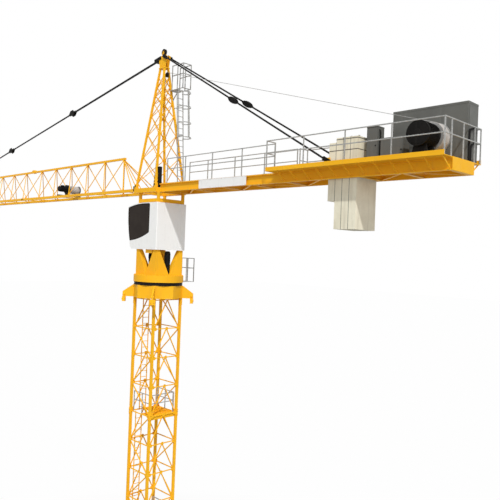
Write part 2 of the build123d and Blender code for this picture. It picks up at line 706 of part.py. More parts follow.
def head_side(first, second, legs):
    """Cross-braced side between two head legs; the bars meet just inside the legs."""
    normal = (0, 1, 0) if first[1] == second[1] else (1, 0, 0)
    inset = (HEAD_LEG + HEAD_BRACE) / 2
    bars = []
    rows = []
    for share in HEAD_NODES:
        a = Vector(*head_point(*first, share))
        b = Vector(*head_point(*second, share))
        along = (b - a).normalized()
        rows.append((a + along * inset, b - along * inset))
    for (a_low, b_low), (a_high, b_high) in zip(rows, rows[1:]):
        bars.append(brace(a_low, b_high, HEAD_BRACE, normal, HEAD_LEG))
        bars.append(brace(b_low, a_high, HEAD_BRACE, normal, HEAD_LEG))
    return (weld(bars) & head_room()) - legs


def pin(x, z, span):
    """Round pin along Y, with a head beyond each end of the span."""
    return along_y(x, z, PIN_R, (span[0] - PIN_HEAD, span[1] + PIN_HEAD))


def head_cap():
    """Plate on the four legs with two drilled cheeks for the tie pins, and the fork of the top pulley."""
    base = HEAD_TOP + CAP_PLATE
    front = HEAD_TOP_X[0] - CAP_MARGIN
    rear = HEAD_TOP_X[1] + CAP_MARGIN
    side = HEAD_TOP_HALF + CAP_SIDE_MARGIN
    plate = block((front, -side, HEAD_TOP), (rear, side, base))
    pins = [(TIE_HEAD_X, TIE_HEAD_Z), (REAR_TIE_HEAD_X, REAR_TIE_HEAD_Z)]
    knuckles = [Pos(*at) * Circle(KNUCKLE_R) for at in pins]
    foot = Pos((front + rear) / 2, base + CAP_PLATE / 2) * Rectangle(rear - front, CAP_PLATE)
    face = make_hull((knuckles[0] + knuckles[1] + foot).edges())
    holes = [Pos(*at) * Circle(PIN_R + RUNNING_GAP) for at in pins]
    cheek = side_plate(face - holes, CHEEK_OUT, CHEEK_OUT - CHEEK_IN)
    ear = Pos(PULLEY_X, PULLEY_Z) * Circle(PULLEY_EAR_R)
    ear_foot = Pos(PULLEY_X, base + CAP_PLATE / 2) * Rectangle(PULLEY_FORK_FOOT, CAP_PLATE)
    fork_face = make_hull((ear + ear_foot).edges()) - Pos(PULLEY_X, PULLEY_Z) * Circle(AXLE_R + RUNNING_GAP)
    fork = side_plate(fork_face, PULLEY_FORK[1], PULLEY_FORK[1] - PULLEY_FORK[0])
    return weld([plate, cheek, mirror_y(cheek), fork, mirror_y(fork)])


def sheave(x, y, z, radius, width, axle_half):
    """Grooved wheel on its axle, both along Y."""
    half = width / 2
    section = Polyline((0, -half), (radius, -half), (radius - GROOVE, 0), (radius, half), (0, half),
                       close=True)
    wheel = Pos(x, y, z) * revolve(make_face(section), Axis.Y)
    return wheel + along_y(x, z, AXLE_R, (-axle_half, axle_half))


def head_sheaves(legs):
    """Pulley in the fork on the cap, and the rope sheave between the rear legs."""
    top = sheave(PULLEY_X, 0, PULLEY_Z, PULLEY_R, PULLEY_WIDTH, PULLEY_FORK[1])
    lower = sheave(SHEAVE_X, SHEAVE_Y, SHEAVE_Z, SHEAVE_R, SHEAVE_WIDTH, HEAD_FOOT_HALF)
    return top, (lower - legs).solids().sort_by(SortBy.VOLUME)[-1]


def tangent(first, first_r, second, second_r):
    """Ends of the straight run that touches two circles of the XZ plane on their right-hand side."""
    run = second - first
    along = run.normalized()
    lean = (first_r - second_r) / run.length
    out = Vector(along.Z, 0, -along.X) * sqrt(1 - lean ** 2) + along * lean
    return first + out * first_r, second + out * second_r


def hoist_rope():
    """Rope from the drum over the rope sheave and down to a socket on the front beam of the base frame."""
    y = Vector(0, SHEAVE_Y, 0)
    drum = Vector(DRUM_X, 0, DRUM_Z) + y
    wheel = Vector(SHEAVE_X, 0, SHEAVE_Z) + y
    socket_x = HEAD_FOOT_X[0] - HEAD_FOOT_MARGIN + HEAD_BASE_FRONT - ROPE_SOCKET / 2
    anchor = Vector(socket_x, 0, HEAD_LOW + ROPE_SOCKET_HEIGHT) + y
    wall = sqrt((SHEAVE_WIDTH / 2) ** 2 + GROOVE ** 2) / (SHEAVE_WIDTH / 2)
    lay_r = SHEAVE_R - GROOVE + (ROPE_R + RUNNING_GAP) * wall
    leave, arrive = tangent(drum, DRUM_R + ROPE_GAP + ROPE_R, wheel, lay_r)
    drop, end = tangent(wheel, lay_r, anchor, 0)
    section = Plane(origin=arrive, z_dir=arrive - leave) * Circle(ROPE_R)
    turn = (arrive - wheel).get_angle(drop - wheel)
    bend = revolve(section, Axis((wheel.X, wheel.Y, wheel.Z), (0, -1, 0)), turn)
    half = ROPE_SOCKET / 2
    socket = block((socket_x - half, SHEAVE_Y - half, HEAD_LOW), (socket_x + half, SHEAVE_Y + half, anchor.Z))
    return weld([rod(leave, arrive, ROPE_R), bend, rod(drop, end, ROPE_R), socket])


def head_ladder(legs):
    """Leaning ladder from the walkway to the head platform, in a cage, stayed to the far rear leg."""
    foot = Vector(HEAD_LADDER_FOOT, HEAD_LADDER_Y, FLOOR_TOP)
    run = Vector(HEAD_LADDER_TOP, HEAD_LADDER_Y, HEAD_FLOOR) - foot
    half = Vector(0, LADDER_WIDTH / 2, 0)

    def at(z):
        return foot + run * ((z - FLOOR_TOP) / run.Z)

    bars = [brace(foot + s, foot + run + s, LADDER_STILE, (0, 1, 0), LADDER_STILE) for s in (half, -half)]
    for k in range(int(run.Z / RUNG_PITCH)):
        step = at(FLOOR_TOP + (k + 0.5) * RUNG_PITCH)
        bars.append(bar(step - half, step + half, RUNG, RUNG, (1, 0, 0)))
    flat = CAGE_R * cos(pi / 8) - CAGE_BAR / 2
    hoop = RegularPolygon(CAGE_R, 8, rotation=22.5) - RegularPolygon(CAGE_R - CAGE_BAR, 8, rotation=22.5)
    hoop = extrude(hoop, HOOP / 2, both=True)
    open_side = block((-CAGE_R, -CAGE_R, -HOOP), (-CAGE_OFFSET - LADDER_STILE / 2, CAGE_R, HOOP))
    middle = Vector(CAGE_OFFSET, 0, 0)
    for drop in HOOP_DROPS:
        bars.append(Pos(*(at(HEAD_FLOOR - drop) + middle)) * (hoop - open_side))
    low = at(HEAD_FLOOR - max(HOOP_DROPS)) + middle
    high = at(HEAD_FLOOR) + middle
    for shift, side in (((flat, 0, 0), (0, 1, 0)), ((0, flat, 0), (1, 0, 0)), ((0, -flat, 0), (1, 0, 0))):
        bars.append(bar(low + Vector(*shift), high + Vector(*shift), HOOP, CAGE_BAR, side))
    for share in HEAD_LADDER_STAYS:
        seat = Vector(*head_point(1, 1, share))
        bars.append(bar(at(seat.Z) + half, seat, LADDER_STILE, LADDER_STILE, (0, 0, 1)))
    reach = 2 * HEAD_BASE_HALF
    room = block((0, 0, FLOOR_TOP), (reach, reach, HEAD_FLOOR))
    return (weld(bars) & room) - legs


def head_platform(legs):
    """Platform on the far rear leg with a hatch over the ladder, railed on three sides."""
    top = HEAD_FLOOR + FLOOR_PLATE
    x0, x1 = HEAD_FLOOR_X
    y0, y1 = HEAD_FLOOR_Y
    half = RAIL_BAR / 2
    floor = block((x0, y0, HEAD_FLOOR), (x1, y1, top))
    hatch = block((HEAD_HATCH[0], HEAD_LADDER_Y - HEAD_HATCH_HALF, HEAD_FLOOR),
                  (HEAD_HATCH[1], HEAD_LADDER_Y + HEAD_HATCH_HALF, top))
    run = x1 - half - HEAD_RAIL_START
    pieces = [floor - hatch]
    for y in (y0 + half, y1 - half):
        pieces.append(rail((HEAD_RAIL_START, y), (x1 - half, y), top, (half, run / 2, run), HEAD_RAIL_HEIGHT))
    pieces.append(rail((x1 - half, y0 + half), (x1 - half, y1 - half), top, (0,), HEAD_RAIL_HEIGHT))
    share = (HEAD_FLOOR - HEAD_BRACKET - HEAD_LOW) / HEAD_HEIGHT
    seat = Vector(*head_point(1, 1, share))
    pieces.append(bar(seat, (seat.X + HEAD_BRACKET, seat.Y, HEAD_FLOOR), RAIL_BAR, RAIL_BAR, (0, 1, 0)))
    return weld(pieces) - legs


def jib_nodes():
    """X of the bottom nodes and of the top nodes, section by section."""
    low = []
    top = []
    for n, bays in enumerate(JIB_SECTION_BAYS):
        start = JIB_FIRST_NODE - n * JIB_SECTION
        low.append([start - k * JIB_BAY for k in range(bays + 1)])
        top.append([start - (k + 0.5) * JIB_BAY for k in range(bays)])
    return low, top


def jib_chords():
    """Two bottom chords, and the top chord with its tie lug and the lugs of its joints."""
    half = JIB_CHORD / 2
    top_face = JIB_CHORD_LOW + JIB_CHORD
    near = block((JIB_TIP, -JIB_HALF - half, JIB_CHORD_LOW), (JIB_ROOT, -JIB_HALF + half, top_face))
    nodes = jib_nodes()[1]
    half = JIB_TOP_CHORD / 2
    face = JIB_TOP_AXIS + half
    end = nodes[-1][-1] - JIB_TOP_CHORD
    start = nodes[0][0] + JIB_TOP_CHORD
    upper = block((end, -half, JIB_TOP_AXIS - half), (start, half, face))
    thick = TIE_LUG / 2
    lug = block((TIE_END_X - TIE_LUG_HALF, -thick, face),
                (TIE_END_X + TIE_LUG_HALF, thick, TIE_END_Z + TIE_LUG_EDGE))
    pieces = [upper, lug - along_y(TIE_END_X, TIE_END_Z, PIN_R + RUNNING_GAP, (-thick, thick))]
    ends = [Pos(s * JOINT_REACH, 0) for s in (-1, 1)]
    outline = make_hull((ends[0] * Circle(JOINT_R) + ends[1] * Circle(JOINT_R)).edges())
    joint = across(outline, JOINT_THICK / 2)
    for before, after in zip(nodes, nodes[1:]):
        pieces.append(Pos((before[-1] + after[0]) / 2, 0, face + JOINT_RISE) * joint)
    return near, mirror_y(near), weld(pieces)


def jib_side(chords):
    """Zigzag lacing of the near side, in the plane through the near and the top chord."""
    low, top = jib_nodes()
    z_low = JIB_CHORD_LOW + JIB_CHORD + JIB_LACING / 4
    z_top = JIB_TOP_AXIS - JIB_TOP_CHORD / 2 - JIB_LACING / 4
    axis = JIB_CHORD_LOW + JIB_CHORD / 2
    rise = JIB_TOP_AXIS - axis
    y_low = -JIB_HALF * (JIB_TOP_AXIS - z_low) / rise
    y_top = -JIB_HALF * (JIB_TOP_AXIS - z_top) / rise
    runs = [(JIB_ROOT - foot, top[0][0]) for foot in JIB_ROOT_BARS]
    for lows, tops in zip(low, top):
        for k, x in enumerate(tops):
            runs += [(lows[k], x), (lows[k + 1], x)]
    square = (0, rise, -JIB_HALF)
    bars = [brace((a, y_low, z_low), (b, y_top, z_top), JIB_LACING, square, JIB_CHORD / 2) for a, b in runs]
    room = block((JIB_TIP, -2 * JIB_HALF, JIB_CHORD_LOW + JIB_CHORD), (0, 0, JIB_TOP_AXIS))
    return (weld(bars) & room) - chords


def jib_floor_lacing():
    """Zigzag bars and cross beams between the two bottom chords."""
    nodes = jib_nodes()[0]
    z = JIB_CHORD_LOW + JIB_CHORD / 2
    inner = JIB_HALF - JIB_CHORD / 2
    at = inner - JIB_LACING / 4
    half = JIB_LACING / 2
    beams = [JIB_ROOT - JIB_ROOT_BARS[0], JIB_TIP + half]
    bars = []
    side = 1
    for row in nodes:
        for a, b in zip(row, row[1:]):
            bars.append(brace((a, -side * at, z), (b, side * at, z), JIB_LACING, (0, 0, 1), JIB_LACING))
            side = -side
        beams += [row[0], row[-1]]
    bars += [block((x - half, -inner, z - half), (x + half, inner, z + half)) for x in beams]
    room = block((JIB_TIP, -inner, JIB_CHORD_LOW), (0, inner, JIB_CHORD_LOW + JIB_CHORD))
    return weld(bars) & room


def link(at, along, length, wide, deep):
    """Flat connector lying along a tie, centred on a point."""
    half = along * (length / 2)
    return bar(at - half, at + half, wide, deep, (0, 1, 0))


def connector(at, along):
    """Pinned connector of a tie: a plate with pointed ends."""
    square = along.cross(Vector(0, 0, 1)).normalized()
    reach = TIE_LINK / 2
    rise = TIE_LINK_DEEP / 2
    outline = Polyline((-reach, 0), (-reach / 2, -rise), (reach / 2, -rise), (reach, 0),
                       (reach / 2, rise), (-reach / 2, rise), close=True)
    plane = Plane(origin=at, x_dir=along, z_dir=square)
    return extrude(plane * make_face(outline), TIE_LINK_WIDE / 2, both=True)


def fork(at, inward, inner):
    """Fork end of a tie: two plates outside a lug of that half width, a heel block between them and a pin."""
    aside = Vector(0, inner + RUNNING_GAP + TIE_R / 2, 0)
    outer = aside.Y + TIE_R / 2
    middle = at + inward * (TIE_EYE / 2)
    plates = [link(middle + s, inward, 1.5 * TIE_EYE, TIE_R, TIE_EYE_DEEP) for s in (aside, -aside)]
    heel = link(at + inward * TIE_EYE, inward, TIE_EYE / 2, 2 * outer, TIE_EYE_DEEP)
    return plates + [heel, pin(at.X, at.Z, (-outer, outer))]


def jib_tie():
    """Single tie from the cheeks of the head to the lug on the top chord, with two pinned connectors."""
    top = Vector(TIE_HEAD_X, 0, TIE_HEAD_Z)
    end = Vector(TIE_END_X, 0, TIE_END_Z)
    along = (end - top).normalized()
    run = (end - top).length
    joints = [top + along * (run * share) for share in TIE_JOINTS]
    stops = [top + along * TIE_EYE] + joints + [end - along * TIE_EYE]
    sizes = [2 * TIE_R_HEAD] + [2 * TIE_R] * len(joints)
    pieces = [bar(a, b, size, size, (0, 1, 0)) for a, b, size in zip(stops, stops[1:], sizes)]
    pieces += [connector(at, along) for at in joints]
    return weld(pieces + fork(top, along, CHEEK_OUT) + fork(end, -along, TIE_LUG / 2))


def rear_tie():
    """Near rear tie, from the outer side of the head cheek to the lug on the girder, with its two pins."""
    top = Vector(REAR_TIE_HEAD_X, -(CHEEK_OUT + RUNNING_GAP + TIE_R), REAR_TIE_HEAD_Z)
    end = Vector(REAR_TIE_END_X, -(REAR_LUG[1] + RUNNING_GAP + TIE_R), REAR_TIE_END_Z)
    along = (end - top).normalized()
    thick = 2 * TIE_R
    pieces = [bar(top, end, thick, thick, (0, 1, 0))]
    pieces += [link(at, along, TIE_EYE, thick, TIE_EYE_DEEP) for at in (top, end)]
    middle = top + (end - top) * REAR_TIE_JOINT
    pieces.append(connector(middle, along))
    reach = TIE_EYE
    lug = block((end.X - reach, -REAR_LUG[1] - RUNNING_GAP, end.Z - reach), (end.X + reach, 0, end.Z + reach))
    cheek = block((top.X - reach, -CHEEK_OUT - RUNNING_GAP, top.Z - reach), (top.X + reach, 0, top.Z + reach))
    pins = [pin(top.X, top.Z, (top.Y - TIE_R, -CHEEK_IN)), pin(end.X, end.Z, (end.Y - TIE_R, -REAR_LUG[0]))]
    return weld([weld(pieces) - lug - cheek] + pins)


def girder():
    """Near counter-jib girder: a channel with its flanges outward, and the drilled tie lug on top."""
    start = GIRDER_START
    outer = -GIRDER_WEB - GIRDER_WEB_THICK
    web = block((start, outer, GIRDER_LOW), (GIRDER_END, -GIRDER_WEB, GIRDER_TOP))
    low = block((start, -FLANGE_EDGE, GIRDER_LOW),
                (GIRDER_END, -GIRDER_WEB, GIRDER_LOW + GIRDER_FLANGE_THICK))
    top = Pos(0, 0, GIRDER_HEIGHT - GIRDER_FLANGE_THICK) * low
    lug = block((REAR_TIE_END_X - REAR_LUG_HALF, -REAR_LUG[1], GIRDER_TOP),
                (REAR_TIE_END_X + REAR_LUG_HALF, -REAR_LUG[0], REAR_TIE_END_Z + REAR_LUG_EDGE))
    hole = along_y(REAR_TIE_END_X, REAR_TIE_END_Z, PIN_R + RUNNING_GAP, (-REAR_LUG[1], -REAR_LUG[0]))
    return weld([web, low, top, lug - hole])


def crossbeams():
    """Beams between the girders, and the plate over their rear ends."""
    half = CROSSBEAM / 2
    low = GIRDER_TOP - CROSSBEAM_DEEP
    beams = [block((x - half, -GIRDER_WEB, low), (x + half, GIRDER_WEB, GIRDER_TOP)) for x in CROSSBEAMS]
    plate = block((GIRDER_END, -FLANGE_EDGE, GIRDER_LOW), (GIRDER_END + END_PLATE, FLANGE_EDGE, FLOOR_TOP))
    return beams + [plate]


def strut(x):
    """Slanted flat strut from the lower flange of the near girder to the deck edge."""
    foot = GIRDER_LOW + GIRDER_FLANGE_THICK
    inner = GIRDER_WEB + GIRDER_WEB_THICK
    outline = Polyline((-inner, foot), (-FLANGE_EDGE, foot), (-DECK_HALF + DECK_EDGE, GIRDER_TOP),
                       (-DECK_HALF + DECK_EDGE + FLANGE_EDGE - inner, GIRDER_TOP), close=True)
    return Pos(x - STRUT_THICK / 2, 0, 0) * extrude(Plane.YZ * make_face(outline), STRUT_THICK)


def rail(start, end, low, stations, height=RAIL_HEIGHT):
    """Flat railing between two points: posts at the stations, a top rail and a middle rail."""
    half = RAIL_BAR / 2
    a = Vector(start[0], start[1], low)
    b = Vector(end[0], end[1], low)
    along = (b - a).normalized()
    side = tuple(Vector(0, 0, 1).cross(along))
    top = Vector(0, 0, height)
    bars = []
    for lift in (top * RAIL_MID_SHARE, top - Vector(0, 0, half)):
        bars.append(bar(a + lift, b + lift, RAIL_BAR, RAIL_BAR, side))
    for station in stations:
        at = a + along * station
        bars.append(bar(at, at + top, RAIL_BAR, RAIL_BAR, side))
    return weld(bars)


def ballast():
    """Hanging slabs, and the bars that carry them across the girders."""
    slabs = []
    bars = []
    half = HANGER / 2
    room = half + HANGER_ROOM
    top = GIRDER_TOP + HANGER
    for k, (drop, rise) in enumerate(zip(SLAB_DROPS, SLAB_RISES)):
        x = BALLAST_START + k * SLAB
        middle = x + SLAB / 2
        slab = block((x, -SLAB_HALF, GIRDER_TOP - drop), (x + SLAB - SLAB_GAP, SLAB_HALF, GIRDER_TOP + rise))
        slot = block((middle - room, -SLAB_HALF, GIRDER_TOP - HANGER_ROOM), (middle + room, SLAB_HALF, top))
        slabs.append(slab - slot)
        bars.append(block((middle - half, -FLANGE_EDGE, GIRDER_TOP), (middle + half, FLANGE_EDGE, top)))
    return slabs, bars


def along_y(x, z, radius, span):
    """Round bar along Y."""
    return rod((x, span[0], z), (x, span[1], z), radius)


def hoist_winch():
    """Motor housing on its saddles with the fixed shaft, and the drum that turns on it."""
    motor = along_y(DRUM_X, DRUM_Z, MOTOR_R, MOTOR_SPAN)
    outline = Polyline((DRUM_X - SADDLE, FLOOR_TOP), (DRUM_X + SADDLE, FLOOR_TOP),
                       (DRUM_X + SADDLE_TOP, DRUM_Z), (DRUM_X - SADDLE_TOP, DRUM_Z), close=True)
    saddles = [side_plate(make_face(outline), SADDLE_THICK - y, SADDLE_THICK) for y in SADDLE_Y]
    outer = DRUM_SPAN[1] + FLANGE_THICK
    shaft = along_y(DRUM_X, DRUM_Z, SHAFT_R, (MOTOR_SPAN[1], outer))
    barrel = along_y(DRUM_X, DRUM_Z, DRUM_R, DRUM_SPAN)
    flange = along_y(DRUM_X, DRUM_Z, FLANGE_R, (DRUM_SPAN[1], outer))
    bore = along_y(DRUM_X, DRUM_Z, SHAFT_R + RUNNING_GAP, (DRUM_SPAN[0], outer))
    return weld([motor, shaft] + saddles), barrel + flange - bore


def trolley_winch():
    """Small winch on the jib floor: beam, motor, fixed shaft and brackets, and its drum."""
    x = TROLLEY_DRUM_X
    z = TROLLEY_DRUM_Z
    low = JIB_CHORD_LOW + JIB_CHORD
    reach = JIB_HALF + JIB_CHORD / 2
    seat = TROLLEY_SEAT
    start, end = TROLLEY_DRUM_SPAN
    rim = end + TROLLEY_FLANGE
    gear = (start - TROLLEY_ROOM - TROLLEY_GEAR, start - TROLLEY_ROOM)
    tail = (rim + TROLLEY_ROOM, rim + TROLLEY_ROOM + TROLLEY_PLATE)
    beam = block((x - seat, -reach, low), (x + seat, reach, low + TROLLEY_BEAM))
    bracket = block((x - seat, gear[0], low), (x + seat, gear[1], z))
    end_plate = block((x - seat, tail[0], low), (x + seat, tail[1], z + seat))
    motor = along_y(x, z, TROLLEY_MOTOR_R, (TROLLEY_MOTOR_GAP - reach, gear[0]))
    case = along_y(x, z, TROLLEY_CASE_R, gear)
    shaft = along_y(x, z, TROLLEY_SHAFT_R, (gear[1], tail[0]))
    drum = along_y(x, z, TROLLEY_DRUM_R, (start, end))
    flange = along_y(x, z, TROLLEY_FLANGE_R, (end, rim))
    bore = along_y(x, z, TROLLEY_SHAFT_R + RUNNING_GAP, (start, rim))
    return weld([beam, bracket, motor, case, end_plate, shaft]), drum + flange - bore


def housing(place, height):
    """Closed box on the machine floor."""
    x0, x1, y0, y1 = place
    return block((x0, y0, FLOOR_TOP), (x1, y1, FLOOR_TOP + height))


def walkway_rail():
    """Near rail of the walkway, on the girder."""
    y = -GIRDER_WEB - GIRDER_FLANGE / 2
    end = DECK_START - WALK_RAIL_GAP
    run = end - WALK_RAIL_START
    half = RAIL_BAR / 2
    count = int(run / RAIL_PITCH) + 1
    stations = [half] + [run - half - k * RAIL_PITCH for k in range(count)]
    return rail((WALK_RAIL_START, y), (end, y), GIRDER_TOP, stations)


def deck_rails():
    """Rails along both side decks, across their front ends and across the rear end."""
    half = RAIL_BAR / 2
    y = DECK_HALF - DECK_EDGE - half
    run = GIRDER_END - DECK_START
    stations = [half + k * (run - RAIL_BAR) / 4 for k in range(5)]
    side = rail((DECK_START, -y), (GIRDER_END, -y), FLOOR_TOP, stations)
    inner = y - half - RAIL_GAP
    x = DECK_START + half
    width = inner - FLANGE_EDGE
    front = rail((x, -inner), (x, -FLANGE_EDGE), FLOOR_TOP, (width - half,))
    x = GIRDER_END - half
    rear = rail((x, -inner), (x, inner), FLOOR_TOP, (inner - REAR_POST, inner, inner + REAR_POST))
    return side, mirror_y(side), front, mirror_y(front), rear


def write_mast():
    write("mast_foot", foot())
    for section, place in enumerate(("lower", "middle", "upper")):
        write(f"mast_legs_{place}", *mast_legs(section))
    chevron = [Rot(0, 0, 90) * mast_side(s, "chevron") for s in range(SECTIONS)]
    zigzag = [mast_side(s, "zigzag") for s in range(SECTIONS)]
    turn = Rot(0, 0, 180)
    write("mast_side_rear", *chevron)
    write("mast_side_front", *[turn * side for side in chevron])
    write("mast_side_near", *zigzag)
    write("mast_side_far", *[turn * side for side in zigzag])
    write("mast_ladders", *mast_ladders())
    write("mast_platforms", *mast_platforms())
    write("mast_platform_rails", *mast_platform_rails())
    write("slewing_support", collar())
    write("slewing_ring_lower", ring(RING_R, RING_HOLE_R, COLLAR_TOP, RING_SPLIT))


def write_turntable():
    write("slewing_ring_upper", ring(RING_R, RING_HOLE_R, RING_SPLIT + RUNNING_GAP, TURNTABLE_LOW))
    write("turntable", ring(TURNTABLE_R, TURNTABLE_HOLE_R, TURNTABLE_LOW, CROWN_LOW))
    write("access_platform", access_platform())
    write("crown", crown())
    write("slewing_drives", *slewing_drives())
    posts = cab_posts()
    write("cab_posts", *posts)
    cab_parts(posts)


def write_head():
    write("head_base", head_base())
    legs = head_legs()
    write("head_legs", *legs)
    write("head_side_near", head_side((-1, -1), (1, -1), legs))
    write("head_side_far", head_side((-1, 1), (1, 1), legs))
    write("head_side_front", head_side((-1, -1), (-1, 1), legs))
    write("head_side_rear", head_side((1, -1), (1, 1), legs))
    write("head_cap", head_cap())
    write("head_sheaves", *head_sheaves(legs))
    write("head_ladder", head_ladder(legs))
    write("head_platform", head_platform(legs))


def write_jib():
    near_chord, far_chord, top_chord = jib_chords()
    write("jib_bottom_chords", near_chord, far_chord)
    write("jib_top_chord", top_chord)
    side = jib_side([near_chord, top_chord])
    write("jib_side_near", side)
    write("jib_side_far", mirror_y(side))
    write("jib_floor_lacing", jib_floor_lacing())
    frame, drum = trolley_winch()
    write("trolley_winch", frame)
    write("trolley_drum", drum)
    write("jib_tie", jib_tie())


def write_counter_jib():
    tie = rear_tie()
    write("rear_ties", tie, mirror_y(tie))
    beam = girder()
    write("counter_jib_girders", beam, mirror_y(beam))
    write("counter_jib_crossbeams", *crossbeams())
    low = GIRDER_TOP
    walkway = block((GIRDER_START, -GIRDER_WEB, low), (BALLAST_START - FLOOR_GAP, GIRDER_WEB, FLOOR_TOP))
    machine_floor = block((BALLAST_END + FLOOR_GAP, -GIRDER_WEB, low), (GIRDER_END, GIRDER_WEB, FLOOR_TOP))
    write("counter_jib_floors", walkway, machine_floor)
    inner = DECK_EDGE - DECK_HALF
    deck = block((DECK_START, inner, low), (GIRDER_END, -FLANGE_EDGE, FLOOR_TOP))
    write("side_decks", deck, mirror_y(deck))
    edge = block((DECK_START, -DECK_HALF, FLOOR_TOP - DECK_EDGE_DROP),
                 (GIRDER_END, inner, FLOOR_TOP + DECK_EDGE_RISE))
    write("deck_edges", edge, mirror_y(edge))
    struts = [strut(DECK_START + STRUT_START + STRUT_PITCH * k) for k in range(STRUTS)]
    write("deck_struts", *struts, *[mirror_y(s) for s in struts])
    walk = walkway_rail()
    write("walkway_rails", walk, mirror_y(walk))
    write("deck_rails", *deck_rails())


def write_machinery():
    slabs, bars = ballast()
    write("ballast_slabs", *slabs)
    write("ballast_hangers", *bars)
    motor, drum = hoist_winch()
    write("hoist_motor", motor)
    write("hoist_drum", drum)
    write("hoist_rope", hoist_rope())
    write("machine_cabinet", housing(CABINET, CABINET_HEIGHT))
    write("control_box", housing(CONTROL_BOX, CONTROL_BOX_HEIGHT), housing(BRAKE_BOX, BRAKE_BOX_HEIGHT))


os.makedirs("parts", exist_ok=True)
write_mast()
write_turntable()
write_head()
write_jib()
write_counter_jib()
write_machinery()
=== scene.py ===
import json
import math

import bmesh
import bpy
from mathutils import Matrix, Vector


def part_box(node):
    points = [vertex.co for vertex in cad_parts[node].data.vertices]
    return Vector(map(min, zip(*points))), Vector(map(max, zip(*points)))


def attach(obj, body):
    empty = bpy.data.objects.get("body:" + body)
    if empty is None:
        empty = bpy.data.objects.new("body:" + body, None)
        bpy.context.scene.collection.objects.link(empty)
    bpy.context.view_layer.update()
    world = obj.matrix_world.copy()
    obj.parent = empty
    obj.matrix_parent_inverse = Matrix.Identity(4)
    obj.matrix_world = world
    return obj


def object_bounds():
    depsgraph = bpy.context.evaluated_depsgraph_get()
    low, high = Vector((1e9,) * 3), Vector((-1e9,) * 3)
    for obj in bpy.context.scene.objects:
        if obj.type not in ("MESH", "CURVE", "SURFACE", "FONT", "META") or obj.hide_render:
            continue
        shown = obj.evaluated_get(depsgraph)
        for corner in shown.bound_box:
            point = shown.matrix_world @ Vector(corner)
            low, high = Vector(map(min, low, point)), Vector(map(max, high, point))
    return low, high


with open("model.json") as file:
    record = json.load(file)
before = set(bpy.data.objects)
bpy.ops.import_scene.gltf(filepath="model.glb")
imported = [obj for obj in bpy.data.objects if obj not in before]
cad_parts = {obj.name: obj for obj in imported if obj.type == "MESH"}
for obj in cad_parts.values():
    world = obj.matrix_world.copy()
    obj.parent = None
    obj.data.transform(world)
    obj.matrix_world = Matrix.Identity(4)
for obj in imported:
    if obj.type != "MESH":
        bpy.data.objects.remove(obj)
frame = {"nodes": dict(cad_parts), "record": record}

# Looks of the tower crane at half size, in metres. The mast axis is Z, the jib points along -X,
# the counter-jib along +X, and the near side is -Y.
cad_box = [list(corner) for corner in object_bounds()]

# View of the photograph
EYE = Vector((12.3895, -9.2065, 9.810))
HEADING = math.radians(44.934)
PITCH = math.radians(0.387)
ROLL = math.radians(2.180)
LENS = 43.76

# Light
SUN_FROM = Vector((0.50, -0.40, 0.75))
SUN_STRENGTH = 2.4
SUN_SOFTNESS = math.radians(1.5)
FILL_FROM = Vector((0.70, -0.70, 0.10))
FILL_STRENGTH = 0.8
FILL_SOFTNESS = math.radians(60)
SKY = 0.5
FLOOR_TONE = 0.36
SHADED_REACH = 4.0
WHITE_REACH = 10.0
SHADED_WHITE = 0.85
FAR_WHITE = 0.985

# Directions and shared values
X_AXIS = Vector((1, 0, 0))
Y_AXIS = Vector((0, 1, 0))
Z_AXIS = Vector((0, 0, 1))
SHARP = math.radians(35)
NOISE_ROUGHNESS = 0.55
HEXAGON_SHARE = 0.78
BEARING_BAR = 0.004
ALONG_Y = {"facing": [(0.0, 1.0, 0.0)]}

# Sockets of a Mix node that carry colours
COLOUR_A = 6
COLOUR_B = 7
COLOUR_RESULT = 2


def node_box(name):
    """Lowest and highest corner of a CAD node."""
    low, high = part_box(name)
    return Vector(low), Vector(high)


class Nodes:
    """A node tree, with short ways to add a node and to feed its inputs."""

    def __init__(self, tree):
        self.tree = tree

    def feed(self, node, inputs):
        """Set inputs of a node; each is a plain value or another node's socket."""
        for name, value in inputs.items():
            if isinstance(value, bpy.types.NodeSocket):
                self.tree.links.new(value, node.inputs[name])
            else:
                node.inputs[name].default_value = value

    def add(self, kind, output, inputs=None, **settings):
        """One output of a new node."""
        node = self.tree.nodes.new(kind)
        for name, value in settings.items():
            setattr(node, name, value)
        self.feed(node, inputs or {})
        return node.outputs[output]


# Materials

